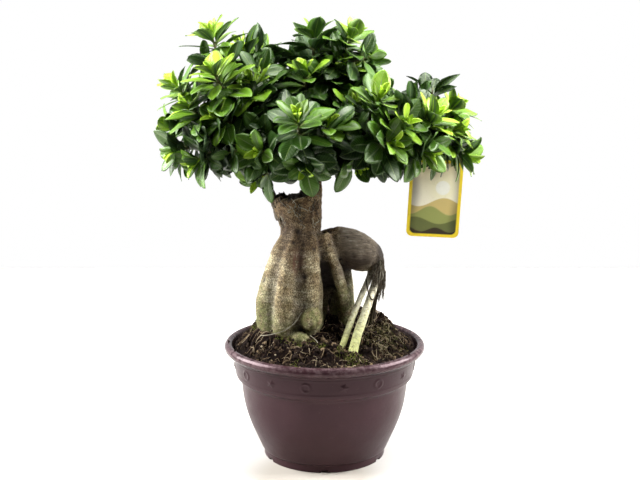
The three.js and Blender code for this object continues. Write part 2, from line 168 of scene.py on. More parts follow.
def tube(points, sides, steps):
    """Vertices and faces of a closed tube through [x, y, z, radius] points."""
    line, radius = curve(points, steps)
    across, aside = frames(line)
    angle = np.arange(sides) * 2 * np.pi / sides
    ring = (np.cos(angle)[None, :, None] * across[:, None]
            + np.sin(angle)[None, :, None] * aside[:, None])
    return closed_shell(line[:, None] + radius[:, None, None] * ring, line[0], line[-1])


class Pile:
    """Collects closed shapes. Each named value is one number on every vertex."""

    def __init__(self, *names):
        self.vertices, self.faces, self.count = [], [], 0
        self.values = {name: [] for name in names}

    def add(self, vertices, faces, **values):
        for block in faces:
            self.faces += (block + self.count).tolist()
        self.vertices.append(vertices)
        self.count += len(vertices)
        for name, kept in self.values.items():
            kept.append(np.broadcast_to(values.get(name, 0.0), len(vertices)))

    def add_tube(self, points, sides, steps, **values):
        self.add(*tube(points, sides, steps), **values)

    def mesh(self, name):
        mesh = bpy.data.meshes.new(name)
        mesh.from_pydata(np.vstack(self.vertices) * MM, [], self.faces)
        for value, kept in self.values.items():
            store(mesh, value, np.concatenate(kept))
        return mesh


def store(mesh, name, numbers):
    attribute = mesh.attributes.new(name, "FLOAT", "POINT")
    attribute.data.foreach_set("value", np.asarray(numbers, np.float32))


def piece(mesh, material, slot, *nodes):
    """Makes a mesh a piece of the part, standing for the CAD nodes named."""
    obj = into_scene(mesh.name, mesh)
    mesh.materials.append(material)
    mesh.shade_smooth()
    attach(obj, "root")
    if nodes:
        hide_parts(*nodes)
    triangles = sum(len(face.vertices) - 2 for face in mesh.polygons)
    print(f"{mesh.name}: {triangles} triangles")


# %% [markdown]
# ## Material nodes
#
# A material is a network of nodes, as the node editor shows it. It could be wired by hand there, but
# this script has to build it anew each time. The class below writes the few kinds of node that bark,
# soil, leaf and plastic need, so that one line of the script is one step of a finish.

# %% Material nodes
class Shader:
    """Writes one material. Most methods return the socket that they make."""

    def __init__(self, name, **principled):
        self.material = bpy.data.materials.new(name)
        self.material.use_nodes = True
        self.tree = self.material.node_tree
        self.surface = self.tree.nodes["Principled BSDF"]
        self.set(self.surface, principled)
        self.place = self.node("TexCoord").outputs["Object"]

    def node(self, kind, inputs=None, **settings):
        node = self.tree.nodes.new("ShaderNode" + kind)
        for key, value in settings.items():
            setattr(node, key, value)
        self.set(node, inputs or {})
        return node

    def set(self, node, inputs):
        for name, value in inputs.items():
            socket = node.inputs[name.replace("_", " ") if isinstance(name, str) else name]
            if isinstance(value, bpy.types.NodeSocket):
                self.tree.links.new(value, socket)
            else:
                socket.default_value = value

    def value(self, name):
        return self.node("Attribute", attribute_name=name).outputs["Fac"]

    def math(self, operation, *numbers, clamp=False):
        return self.node("Math", dict(enumerate(numbers)), operation=operation,
                         use_clamp=clamp).outputs[0]

    def step(self, low, high, value):
        """A soft step from 0 at low to 1 at high."""
        return self.node("MapRange", {"Value": value, "From Min": low, "From Max": high},
                         interpolation_type="SMOOTHSTEP").outputs[0]

    def times(self, first, second):
        return self.math("MULTIPLY", first, second)

    def plus(self, first, second):
        return self.math("ADD", first, second)

    def height(self):
        """Metres above the table."""
        return self.node("SeparateXYZ", {"Vector": self.place}).outputs[2]

    def grain(self, size, stretch=(1, 1, 1), detail=4.0, rough=0.6, seed=0.0):
        """Noise from 0 to 1 whose bumps are about size millimetres across."""
        scale = [1 / (size * MM * s) for s in stretch]
        moved = self.node("Mapping", {"Vector": self.place, "Scale": scale,
                                      "Location": (seed, seed * 2, seed * 3)}).outputs[0]
        return self.node("TexNoise", {"Vector": moved, "Scale": 1.0, "Detail": detail,
                                      "Roughness": rough}).outputs[0]

    def ramp(self, factor, *stops):
        """Colour from stops of (position, red, green, blue), in linear light."""
        node = self.node("ValToRGB", {"Fac": factor})
        elements = node.color_ramp.elements
        for element in list(elements)[1:]:
            elements.remove(element)
        for i, (position, *colour) in enumerate(stops):
            element = elements[0] if i == 0 else elements.new(position)
            element.position = position
            element.color = (*colour, 1)
        return node.outputs[0]

    def blend(self, factor, under, over, share=1.0, mode="MIX"):
        """One colour over another: no more than share of it shows, where factor is 1."""
        if share != 1.0:
            factor = self.times(factor, share)
        inputs = {0: factor, 6: under, 7: over}
        inputs = {k: (*v, 1) if isinstance(v, tuple) else v for k, v in inputs.items()}
        return self.node("Mix", inputs, data_type="RGBA", blend_type=mode).outputs[2]

    def bump(self, height, depth, under=None):
        """A surface relief of depth millimetres where height runs from 0 to 1."""
        inputs = {"Height": height, "Distance": depth * MM, "Strength": 1.0}
        if under is not None:
            inputs["Normal"] = under
        return self.node("Bump", inputs).outputs[0]

    def finish(self, colour, normal=None, **others):
        inputs = {"Base Color": colour, **others}
        if normal is not None:
            inputs["Normal"] = normal
        self.set(self.surface, inputs)
        return self.material


# %% [markdown]
# ## The pot
#
# The bowl is injection moulded in one piece: a rolled lip, a banded collar, a bellied wall and a
# stepped foot. It could start as a cylinder that is loop cut and scaled, but a turned form is given
# exactly by its outline. The outline's corners are cut twice, which rounds them as a mould does, and
# it gets more points at the collar and the lip, where the relief and the highlights need them.

# %% Pot outline
FOOT = [[0, 0], [66.6, 0], [67, 0.5], [67, 7.6], [67.6, 8.4]]
POT_WALL = [[69.5, 9.5], [74, 20], [82.5, 40], [88.3, 60], [92, 87]]
POT_OVER = [[96.2, 89.6], [97.2, 91.2], [100.5, 114], [108.5, 118], [110, 122.5], [107, 127],
            [102, 126.5], [100.5, 123]]
POT_INSIDE = [[94.5, 112], [90, 90], [85.3, 60], [79.3, 40], [70.8, 20], [63, 5], [0, 5]]
COLLAR_LOW, COLLAR_HIGH = 92.0, 113.5
LIP_INSIDE = 95
FIRST_CUT, SECOND_CUT = 1.3, 0.4
WALL_STEP, COLLAR_STEP = 9, 0.9


def rounded(profile, cut):
    """An outline whose sharp corners are cut off at most cut millimetres from each corner."""
    rows = [profile[0]]
    for before, corner, after in zip(profile, profile[1:], profile[2:]):
        sides = np.array([before - corner, after - corner])
        lengths = np.linalg.norm(sides, axis=1)
        if np.dot(*sides) < -0.99 * lengths.prod():
            rows.append(corner)
            continue
        for side, length in zip(sides, lengths):
            rows.append(corner + side / length * min(cut, length / 3))
    return np.array(rows + [profile[-1]])


def stretched(profile, longest):
    """An outline with points added so that no edge is longer than given."""
    rows = [profile[0]]
    for start, end in zip(profile, profile[1:]):
        parts = int(np.ceil(np.linalg.norm(end - start) / longest))
        rows += [mix(start, end, (k + 1) / parts) for k in range(parts)]
    return np.array(rows)


wall = curve([[r, 0, z, 0] for r, z in POT_WALL], 24)[0][:, [0, 2]]
outline = np.vstack([FOOT, wall, POT_OVER, POT_INSIDE]).astype(float)
outline = stretched(rounded(rounded(outline, FIRST_CUT), SECOND_CUT), WALL_STEP)
fine = (outline[:, 1] > COLLAR_LOW - 1) & (outline[:, 1] < COLLAR_HIGH) & (outline[:, 0] > LIP_INSIDE)
first, last = np.flatnonzero(fine)[[0, -1]]
outline = np.vstack([outline[:first], stretched(outline[first:last + 1], COLLAR_STEP), outline[last + 1:]])
print("pot outline:", len(outline), "points")

# %% [markdown]
# Small ornaments run round the collar, rosettes and rings in turn, between two fine beads. They could
# be modelled once and repeated as separate pieces, but the real ones are moulded with the wall and
# melt into it. So a formula gives the relief's height at each place and moves the wall outwards.

# %% Collar ornaments
POT_SIDES = 512
ORNAMENTS = 16
COLLAR_RADIUS, COLLAR_MIDDLE = 98, 103.3
BEADS = (94.6, 111.2)
BAND_FADE = 1.5


def ornament(angle, level):
    """Height of the collar's relief."""
    pitch = 2 * np.pi / ORNAMENTS
    number = np.floor(angle / pitch)
    across = (angle - (number + 0.5) * pitch) * COLLAR_RADIUS
    up = level - COLLAR_MIDDLE
    radius = np.hypot(across, up)
    petals = 0.5 + 0.5 * np.cos(5 * np.arctan2(up, across))
    rosette = 1 - smoothstep(3.2, 5.2, radius + 2.2 * (1 - petals))
    rosette = rosette + 0.8 * (1 - smoothstep(0.8, 1.6, radius))
    circle = 1 - smoothstep(0.5, 1.3, np.abs(radius - 4.4))
    beads = 1 - smoothstep(0.3, 0.8, np.minimum(*(np.abs(level - bead) for bead in BEADS)))
    return 0.7 * np.where(number % 2 == 0, rosette, circle) + 0.35 * beads


def lathe_rings(radius, level):
    """Rings of points round the axis, from the radius and height of each point."""
    turn = np.arange(radius.shape[1]) * 2 * np.pi / radius.shape[1]
    return np.stack([radius * np.cos(turn), radius * np.sin(turn), level], -1)


turn = np.arange(POT_SIDES) * 2 * np.pi / POT_SIDES
radius = np.repeat(outline[1:-1, :1], POT_SIDES, axis=1)
level = np.repeat(outline[1:-1, 1:], POT_SIDES, axis=1)
banded = smoothstep(COLLAR_LOW, COLLAR_LOW + BAND_FADE, level)
banded = banded * (1 - smoothstep(COLLAR_HIGH - BAND_FADE, COLLAR_HIGH, level)) * (radius > LIP_INSIDE + 1)
radius = radius + banded * ornament(np.tile(turn, (len(radius), 1)), level)
pile = Pile()
pile.add(*closed_shell(lathe_rings(radius, level), [0, 0, outline[0, 1]], [0, 0, outline[-1, 1]]))
lathe = into_scene("lathe", pile.mesh("lathe"))
print("lathed bowl:", pile.count, "vertices")

# %% [markdown]
# Water leaves the bowl through three holes, and six grooves under the foot let it run off. The holes
# could be bridged by hand in the turned mesh. A boolean modifier is quicker and leaves the crisp edges
# of a mould: it takes away one block for each groove and one pin for each hole, as in the CAD.

# %% Drains
GROOVES, GROOVE_START, GROOVE_END, GROOVE_DEPTH, GROOVE_HALF_WIDTH = 6, 24, 71, 2.2, 4
HOLE_DISTANCE, HOLE_RADIUS, PIN_REACH = 46, 4, 10
BLOCK_FACES = np.array([[0, 1, 3, 2], [2, 3, 5, 4], [4, 5, 7, 6], [6, 7, 1, 0], [0, 2, 4, 6], [1, 7, 5, 3]])


def modified(obj, name):
    """The mesh that an object's modifiers give. The object itself is removed."""
    mesh = bpy.data.meshes.new_from_object(obj.evaluated_get(bpy.context.evaluated_depsgraph_get()))
    mesh.name = name
    bpy.data.objects.remove(obj)
    return mesh


cutters = Pile()
for i in range(GROOVES):
    angle = (i + 0.5) * 2 * np.pi / GROOVES
    out = np.array([np.cos(angle), np.sin(angle), 0])
    aside = np.array([-np.sin(angle), np.cos(angle), 0])
    block = [reach * out + side * GROOVE_HALF_WIDTH * aside + [0, 0, up * GROOVE_DEPTH]
             for reach, up in ((GROOVE_START, -1), (GROOVE_END, -1), (GROOVE_END, 1), (GROOVE_START, 1))
             for side in (-1, 1)]
    cutters.add(np.array(block), [BLOCK_FACES])
    if i % 2 == 0:
        pin = [[*(HOLE_DISTANCE * out[:2]), z, HOLE_RADIUS] for z in (-PIN_REACH, PIN_REACH)]
        cutters.add_tube(pin, 32, 2)
cutter = into_scene("cutter", cutters.mesh("cutter"))
cut = lathe.modifiers.new("drain", "BOOLEAN")
cut.operation, cut.object, cut.solver, cut.use_self = "DIFFERENCE", cutter, "EXACT", True
pot_mesh = modified(lathe, "pot_bowl")
bpy.data.objects.remove(cutter)
print("grooves:", GROOVES, "holes:", GROOVES // 2)

# %% [markdown]
# The plastic is a matte purplish brown with a faint sheen. One flat colour would look like a render,
# and a painted image would need unwrapping. So noise at several scales clouds the brown, lays pale dust
# with a painted sheen on the lip, paints shade on the collar under it, scuffs and specks the wall, and
# varies the roughness. The lip is a little glossier, where the real one catches the light.

# %% Pot material
look = Shader("pot_plastic", Specular_IOR_Level=0.23, Specular_Tint=(1.0, 0.72, 0.76, 1))
height = look.height()
cloud = look.grain(30, detail=3)
tone = look.ramp(cloud, (0.3, 0.025, 0.0106, 0.0132), (0.7, 0.033, 0.0144, 0.0178))
# Painted shade: the collar band under the lip is darker.
painted_collar_shade = look.times(look.step(0.092, 0.094, height), look.step(0.116, 0.112, height))
tone = look.blend(painted_collar_shade, tone, (0.009, 0.004, 0.006), 0.35)
scuff = look.step(0.60, 0.78, look.grain(9, (1, 1, 0.25), detail=6, rough=0.7, seed=3))
tone = look.blend(scuff, tone, (0.12, 0.065, 0.065), 0.12)
# Pale dust on the lip, with a painted sheen where the lip catches the side lights.
lip_dust_and_sheen = look.times(look.step(0.114, 0.128, height), look.step(0.35, 0.75, look.grain(6, seed=5)))
tone = look.blend(lip_dust_and_sheen, tone, (0.17, 0.120, 0.125), 0.55)
speck = look.step(0.70, 0.76, look.grain(1.4, detail=2, seed=8))
tone = look.blend(speck, tone, (0.15, 0.11, 0.09), 0.25)
relief = look.bump(look.grain(0.9, detail=3), 0.05, look.bump(cloud, 0.5))
matte = look.plus(0.27, look.times(0.20, look.grain(14, detail=5, seed=2)))
matte = look.math("SUBTRACT", matte, look.times(0.13, look.step(0.112, 0.121, height)))
piece(pot_mesh, look.finish(tone, relief, Roughness=matte), "pot_plastic", "pot")

# %% [markdown]
# ## The soil
#
# The potting mix is dark peat with bark and coir, and it mounds up towards the trunk. Sculpting would
# be the usual way to shape it. Here the surface is a formula, the CAD's own with three sizes of lumps
# on it, because everything that lies on the soil has to ask how high it is at any place. A skirt
# inside the pot closes the bed below.

# %% Soil bed
SOIL_EDGE_RADIUS, SOIL_EDGE_Z, SOIL_BASE = 98.4, 120, 5.6
SOIL_RINGS, SOIL_SIDES = 84, 260


def soil_height(x, y):
    """The CAD's soil surface."""
    inward = 1 - np.hypot(x, y) / SOIL_EDGE_RADIUS
    shoulder = np.clip(inward / 0.28, 0, 1)
    rise = np.minimum(28, 26 - 0.08 * x + 0.2 * y)
    lumps = np.sin(0.21 * x + 1.3) * np.cos(0.17 * y) + 0.6 * np.sin(0.33 * y + 0.19 * x)
    return SOIL_EDGE_Z + shoulder**2 * (3 - 2 * shoulder) * rise + shoulder * 1.6 * lumps


def soil_top(x, y):
    """The same surface with the mix's lumps on it, heaped at the rim and right of the trunk."""
    flat = np.stack([x, y, np.zeros_like(x)], -1)
    inward = 1 - np.hypot(x, y) / SOIL_EDGE_RADIUS
    rough = 1.7 * noise(flat, 9, 11) + 2.3 * noise(flat, 4.4, 12) + 1.3 * noise(flat, 2.2, 13)
    heap = 3.2 * smoothstep(0.16, 0.02, inward)
    heap = heap + 7 * np.exp(-((x - 16) ** 2 + (y + 2) ** 2) / 380)
    return soil_height(x, y) + (0.25 + 0.75 * smoothstep(0, 0.12, inward)) * rough + heap - 0.4


spread = np.repeat(SOIL_EDGE_RADIUS * np.linspace(1, 0.012, SOIL_RINGS)[:, None], SOIL_SIDES, axis=1)
top = lathe_rings(spread, np.zeros_like(spread))
top[:, :, 2] = soil_top(top[:, :, 0].ravel(), top[:, :, 1].ravel()).reshape(spread.shape)
under = np.array([[r - 0.7, max(z, SOIL_BASE)] for r, z in POT_INSIDE[-2::-1]])
skirt = lathe_rings(*(np.repeat(column[:, None], SOIL_SIDES, axis=1) for column in under.T))
middle = [0, 0, soil_top(np.zeros(1), np.zeros(1))[0]]
pile = Pile()
pile.add(*closed_shell(np.vstack([skirt, top]), [0, 0, SOIL_BASE], middle))
print("soil from", round(float(top[:, :, 2].min()), 1), "to", round(float(top[:, :, 2].max()), 1), "mm")

# %% [markdown]
# Damp peat is nearly black, with rusty bark, a little green and pale grains. A photograph of soil
# could be laid over it, but it would repeat and blur near the camera. So noise through a steep colour
# ramp keeps most of it dark and lets a few grains stand out, and two bumps break the shine.

# %% Soil material
look = Shader("potting_soil", Roughness=1.0, Specular_IOR_Level=0.05)
coarse = look.grain(5, detail=6, rough=0.7)
tone = look.ramp(coarse, (0.34, 0.003, 0.002, 0.002), (0.54, 0.009, 0.005, 0.004),
                 (0.68, 0.030, 0.018, 0.011), (0.80, 0.09, 0.064, 0.043))
rust = look.step(0.58, 0.75, look.grain(7, detail=5, seed=4))
tone = look.blend(rust, tone, (0.085, 0.034, 0.014), 0.30)
green = look.step(0.60, 0.74, look.grain(16, detail=5, seed=9))
tone = look.blend(green, tone, (0.040, 0.045, 0.012), 0.12)
relief = look.bump(look.grain(1.1, detail=5, rough=0.75), 0.9, look.bump(coarse, 2.2))
piece(pile.mesh("soil_bed"), look.finish(tone, relief), "potting_soil", "soil")

# %% [markdown]
# Loose matter lies on real potting mix: crumbs, chips of bark and coir fibres. A particle system could
# scatter it, but particles can't be part of an exported model. So each bit is a small closed solid at
# a seeded place. A crumb is an icosahedron pulled out of round, and a chip is a flat splinter. `tone`
# runs from black peat at 0 through brown to pale straw at 1, and `moss` turns a vertex green.

# %% Crumbs and chips
CRUMBS, CHIPS = 2600, 420
draw = np.random.default_rng(2024)
GOLD = (1 + 5**0.5) / 2
ICO = unit(np.array([[-1, GOLD, 0], [1, GOLD, 0], [-1, -GOLD, 0], [1, -GOLD, 0], [0, -1, GOLD],
                     [0, 1, GOLD], [0, -1, -GOLD], [0, 1, -GOLD], [GOLD, 0, -1], [GOLD, 0, 1],
                     [-GOLD, 0, -1], [-GOLD, 0, 1]], float))
ICO_FACES = np.array([[0, 11, 5], [0, 5, 1], [0, 1, 7], [0, 7, 10], [0, 10, 11], [1, 5, 9], [5, 11, 4],
                      [11, 10, 2], [10, 7, 6], [7, 1, 8], [3, 9, 4], [3, 4, 2], [3, 2, 6], [3, 6, 8],
                      [3, 8, 9], [4, 9, 5], [2, 4, 11], [6, 2, 10], [8, 6, 7], [9, 8, 1]])


def anywhere(count, reach=96):
    """Seeded places over the soil."""
    spread = reach * np.sqrt(draw.random(count))
    turn = draw.random(count) * 2 * np.pi
    return spread * np.cos(turn), spread * np.sin(turn)


def turned(vectors):
    """Vectors under a random rotation."""
    axes = np.linalg.qr(draw.normal(size=(3, 3)))[0]
    return vectors @ (axes * np.sign(np.linalg.det(axes)))


def lump(low, high, *scales):
    """A rough closed lump: an icosahedron with its corners drawn in or out, turned at random."""
    shape = ICO * draw.uniform(low, high, (12, 1))
    for scale in scales:
        shape = shape * scale
    return turned(shape)


litter = Pile("tone", "moss")
xs, ys = anywhere(CRUMBS)
for x, y, z in zip(xs, ys, soil_top(xs, ys)):
    size = 0.5 + 2.6 * draw.random() ** 3
    crumb = lump(0.75, 1.2, size, draw.uniform(0.55, 1.25, 3)) + [x, y, z + 0.25 * size]
    tone = draw.choice([0.05, 0.2, 0.4, 0.65], p=[0.45, 0.3, 0.17, 0.08]) + 0.1 * draw.random()
    litter.add(crumb, [ICO_FACES], tone=tone)
xs, ys = anywhere(CHIPS)
for x, y, z in zip(xs, ys, soil_top(xs, ys)):
    shape = np.array([draw.uniform(1.6, 4.2), draw.uniform(0.5, 1.3), draw.uniform(0.25, 0.6)])
    tilt = draw.uniform(-0.4, 0.4)
    turn = draw.random() * 2 * np.pi
    chip = ICO * draw.uniform(0.8, 1.1, (12, 1)) * shape
    chip = chip @ np.array([[np.cos(tilt), 0, np.sin(tilt)], [0, 1, 0], [-np.sin(tilt), 0, np.cos(tilt)]])
    chip = chip @ np.array([[np.cos(turn), np.sin(turn), 0], [-np.sin(turn), np.cos(turn), 0], [0, 0, 1]])
    litter.add(chip + [x, y, z + 0.5], [ICO_FACES], tone=draw.uniform(0.15, 0.75))
print("crumbs and chips:", CRUMBS + CHIPS)

# %% [markdown]
# Coir fibres and fine dead roots lie across the lumps. A hair system would make them, but hair is lost
# in an export, so each fibre is a thin tube through five knots that follow the soil's height. The
# mound on the right carries a denser mat of them, tinged with moss, as in the photograph.

# %% Fibres on the soil
FIBRES, MAT_FIBRES = 640, 260
SOIL_REACH = 97
KNOTS = 5
MAT_X, MAT_Y = (62, 10), (-22, 18)


def strand(x, y, length, thick, tone, lift, moss=0.0):
    """A bent fibre lying over the soil from a place."""
    turn = draw.random() * 2 * np.pi
    bend = draw.uniform(-1.4, 1.4)
    points = []
    for k in range(KNOTS):
        points.append([x, y, 0, thick * (1 - 0.5 * abs(k / (KNOTS - 1) - 0.3))])
        turn += bend / KNOTS + draw.uniform(-0.5, 0.5)
        x += length / (KNOTS - 1) * np.cos(turn)
        y += length / (KNOTS - 1) * np.sin(turn)
        if np.hypot(x, y) > SOIL_REACH:
            x, y = SOIL_REACH * x / np.hypot(x, y), SOIL_REACH * y / np.hypot(x, y)
    points = np.array(points)
    points[:, 2] = soil_top(points[:, 0], points[:, 1]) + thick + lift * draw.random(KNOTS)
    litter.add_tube(points, 4, 7, tone=tone, moss=moss)


for x, y in zip(*anywhere(FIBRES, 93)):
    thick = draw.uniform(0.16, 0.38) + 0.35 * draw.random() ** 3
    strand(x, y, draw.uniform(5, 18), thick, draw.choice([0.35, 0.55, 0.7, 0.85]), 1.6)
for _ in range(MAT_FIBRES):
    x, y = draw.normal(*MAT_X), draw.normal(*MAT_Y)
    if np.hypot(x, y) < 92:
        strand(x, y, draw.uniform(6, 16), draw.uniform(0.16, 0.4), draw.choice([0.1, 0.25, 0.7, 0.9]),
               2.6, draw.uniform(0.0, 0.35))
print("litter so far:", litter.count, "vertices")

# %% [markdown]
# Moss grows where the wood meets wet soil: at the feet of the two aerial roots, in front of the
# lowest swollen root, and in small pads elsewhere. A green patch of bumpy soil would do from afar. Near
# the camera each pad has to be a crowd of short pointed leaves, thickest in its middle. A few pale
# specks and the crumbs that lie on the pot's lip are placed one by one.

# %% Moss and strays
PADS = [[27, -75, 7, 120], [17, -65, 6, 70], [-39, -44, 8, 170], [-72, -14, 6, 80], [-4, -52, 6, 50],
        [52, -36, 8, 30], [38, -74, 6, 30], [-30, -84, 5, 20], [-25, -53, 5, 110], [-16, -47, 4, 50]]
for x, y, reach, count in PADS:
    px, py = draw.normal(x, reach / 1.6, count), draw.normal(y, reach / 1.6, count)
    keep = np.hypot(px, py) < 95
    for a, b, z in zip(px[keep], py[keep], soil_top(px[keep], py[keep])):
        lean = draw.normal(0, 0.7, 2)
        tall = draw.uniform(1.0, 2.6)
        points = [[a, b, z - 0.3, 0.42],
                  [a + lean[0] * 0.6, b + lean[1] * 0.6, z + tall * 0.6, 0.34],
                  [a + lean[0] * 1.4, b + lean[1] * 1.4, z + tall, 0.06]]
        litter.add_tube(points, 4, 3, tone=draw.uniform(0.2, 0.7), moss=draw.uniform(0.45, 0.95))
SPECKS = [[-24, -65, 1.1], [-66, -53, 1.4], [-51, -67, 1.0], [34, -52, 0.9], [64, -40, 1.0],
          [-8, -80, 0.8], [72, -8, 1.1]]
for x, y, size in SPECKS:
    z = soil_top(np.array([x]), np.array([y]))[0]
    litter.add(lump(0.8, 1.2, size) + [x, y, z + 0.6 * size], [ICO_FACES], tone=1.0)
RIM_CRUMBS = [[-104.5, -8, 127.0, 1.3], [88, -57, 127.0, 1.6], [70, -78, 127.1, 0.9],
              [-95, -44, 127.0, 1.0], [40, 97, 127.1, 1.2], [-60, 87, 127.1, 1.1]]
for x, y, z, size in RIM_CRUMBS:
    litter.add(lump(0.75, 1.2, size) + [x, y, z + 0.4 * size], [ICO_FACES], tone=0.25)

look = Shader("litter", Roughness=0.95, Specular_IOR_Level=0.08)
tone = look.ramp(look.value("tone"), (0.0, 0.005, 0.003, 0.003), (0.25, 0.015, 0.010, 0.007),
                 (0.5, 0.052, 0.033, 0.020), (0.75, 0.20, 0.145, 0.085), (1.0, 0.48, 0.40, 0.27))
tone = look.blend(look.grain(1.5), tone, (0.02, 0.012, 0.008), 0.5)
leafy = look.ramp(look.grain(2.5), (0.35, 0.030, 0.042, 0.008), (0.65, 0.15, 0.17, 0.030))
tone = look.blend(look.value("moss"), tone, leafy)
litter_look = look.finish(tone, look.bump(look.grain(0.8, detail=3), 0.3))
piece(litter.mesh("soil_litter"), litter_look, "potting_soil")

# %% [markdown]
# ## The trunk
#
# The swollen trunk is a bundle of storage roots that fused as they thickened. Sculpting would be the
# usual way, but a script can't repeat strokes of a hand. So it is built as it grew: limbs along the
# CAD's own lines, melted into one skin by a voxel remesh. Each limb is a row of [x, y, z, radius]
# points, and all the limbs of the tree are listed here.

# %% Limbs
SWOLLEN_ROOTS = [
    [[-24, 0, 250, 20.5], [-22, 0, 236, 20.5], [-22, 0, 214, 26], [-24, 0, 183, 30], [-28, 0, 143, 28],
     [-28, 0, 104, 25]],
    [[-34, -4, 250, 10.5], [-43, -10, 226, 13.5], [-52, -14, 198, 16], [-57, -17, 170, 17],
     [-56, -18, 142, 16], [-54, -16, 104, 13]],
    [[-28, -12, 247, 10.5], [-36, -21, 222, 11.5], [-41, -30, 192, 12.5], [-43, -32, 165, 13.5],
     [-41, -30, 138, 14], [-36, -26, 104, 13]],
    [[-17, -12, 245, 10.5], [-17, -19, 218, 13], [-18, -23, 190, 13.8], [-18.5, -22, 165, 13.5],
     [-18, -18, 104, 12]],
    [[-4, -8, 246, 8.5], [5, -10, 222, 9], [13, -8, 196, 9.7], [20, -4, 170, 9.8], [23, -2, 147, 9.8],
     [25, 0, 104, 9]],
    [[-1, 8, 245, 11], [12, 14, 218, 13], [17, 16, 188, 15], [19, 14, 163, 14.5], [22, 12, 140, 13],
     [24, 12, 104, 12]],
    [[-30, 6, 248, 10], [-41, 18, 222, 12.5], [-50, 24, 190, 15.5], [-52, 26, 160, 17], [-50, 24, 104, 14]],
    [[-18, 14, 246, 10], [-18, 28, 217, 14], [-17, 36, 187, 17], [-16, 37, 157, 17.5], [-16, 33, 104, 14]],
]
ARM = [[2, 4, 236, 14], [12, 7, 234, 18], [25, 8, 229.5, 20.5], [39, 6, 223, 20.5], [52, 3, 218, 16.5],
       [59, 1, 215.5, 11], [62.5, 0, 214, 5]]
STUMP = [[-24, 0, 248, 21.5], [-27, 0, 268, 22.5], [-32, 0, 287, 25.5]]
FLANGE = [[-34, -2, 246, 11], [-39, -1, 262, 12], [-45, -1, 278, 11], [-50, -2, 288, 7]]
STEM = [[-16, 0, 256, 12], [-12, 0, 276, 8.5], [-9, 0, 292, 6.8], [-8, 2, 306, 6.2], [-3, 5, 324, 6]]
NODULES = [[-14, -36, 159, 11.5], [-26, -43, 137.5, 9.5]]
FILLING_ROOTS = [
    [[-29, -15, 236, 8], [-30, -21, 214, 10], [-31, -25, 190, 11.5], [-31, -26, 166, 12.5],
     [-30, -24, 140, 12], [-28, -22, 118, 11]],
]
AERIAL_ROOTS = [
    [[52, 2, 212, 3.8], [48, -3, 196, 3.6], [39, -15, 179, 3.5], [28, -32, 156, 3.6], [17, -54, 130, 3.8],
     [11, -64, 110.5, 3.8]],
    [[57, -1, 210, 4], [54, -5, 190, 4.4], [45, -23, 168, 4.9], [35, -44, 146, 5.3], [27, -67, 123, 5.6],
     [23.5, -73, 110.5, 5.6]],
    [[58, 1, 228, 2], [62, 1, 212, 1.8], [58, 4, 186, 1.7], [52, 8, 150, 1.6], [48.7, 8.9, 110.5, 1.6]],
]
BOUGHS = {
    "right": [[-3, 5, 322, 5.5], [27, 0, 337, 4.4], [63, -10, 347, 3.8], [99, -15, 355, 3.1],
              [123, -10, 368, 2.4]],
    "top": [[-3, 5, 322, 5.5], [0, 10, 356, 4.4], [4, 10, 388, 3.4], [6, 5, 421, 2.4]],
    "left": [[-3, 5, 322, 5], [-31, 0, 344, 4.3], [-66, -5, 365, 3.4], [-87, 0, 396, 2.8],
             [-98, 5, 425, 2.3]],
    "low_left": [[-46, 0, 262, 6.5], [-55, -2, 284, 5], [-68, -6, 306, 4.2], [-90, -10, 328, 3.6],
                 [-115, -15, 346, 3], [-135, -20, 366, 2.4]],
    "front": [[-9, 0, 303, 4.5], [-13, -32, 326, 3.4], [-18, -62, 344, 2.6]],
    "front_right": [[27, 0, 337, 3.8], [48, -45, 352, 3.2], [62, -75, 365, 2.5]],
    "front_left": [[-31, 0, 344, 3.9], [-51, -45, 337, 3.3], [-69, -80, 340, 2.6]],
    "back_right": [[-3, 5, 322, 4.5], [28, 50, 340, 3.5], [70, 95, 356, 2.9]],
    "back_left": [[-3, 5, 322, 4.5], [-38, 55, 342, 3.5], [-80, 100, 367, 2.9]],
    "back": [[0, 10, 356, 3.9], [-3, 60, 372, 3.4], [-7, 110, 390, 2.9]],
}
TAG_TWIG = [[100, -15, 355, 2.4], [114, -4, 344, 2], [121.5, 7, 338.5, 1.8], [124, 21, 337, 1.6]]
ROOT_FLOOR = 110
VOXEL = 1.35
BALL = [(-1, 0), (-0.87, 0.5), (-0.5, 0.87), (0, 1), (0.5, 0.87), (0.87, 0.5), (1, 0)]

pile = Pile()
for limb in [*SWOLLEN_ROOTS, *FILLING_ROOTS, ARM, STUMP, FLANGE, STEM]:
    vertices, faces = tube(limb, 40, 48)
    vertices[:, 2] = np.maximum(vertices[:, 2], ROOT_FLOOR)
    pile.add(vertices, faces)
for x, y, z, size in NODULES:
    pile.add_tube([[x, y, z + up * size, max(wide * size, 0.02)] for up, wide in BALL], 32, 24)
rough = into_scene("rough", pile.mesh("rough"))
melt = rough.modifiers.new("melt", "REMESH")
melt.mode, melt.voxel_size = "VOXEL", VOXEL * MM
trunk_mesh = modified(rough, "trunk")
print("trunk skin:", len(trunk_mesh.vertices), "vertices")

# %% [markdown]
# A voxel remesh leaves a stepped skin and hard creases between the limbs. A smooth modifier would
# round it, but here the same averaging is also a measure: where the averaged skin stands outside the
# real one the place is hollow, and where it lies inside it is a ridge. The hollows get painted shade
# and the ridges a painted highlight, so both numbers are kept for the bark.

# %% Relaxed skin
HOLLOW_DEPTH, VALLEY_DEPTH = 1.2, 3.0


def relaxed(values, edges, times):
    """Values moved towards the mean of their neighbours' along the mesh."""
    degree = np.bincount(edges.ravel(), minlength=len(values))
    for _ in range(times):
        columns = []
        for column in values.reshape(len(values), -1).T:
            total = np.bincount(edges[:, 0], column[edges[:, 1]], len(values))
            total += np.bincount(edges[:, 1], column[edges[:, 0]], len(values))
            columns.append(total / degree)
        values = 0.4 * values + 0.6 * np.array(columns).T.reshape(values.shape)
    return values


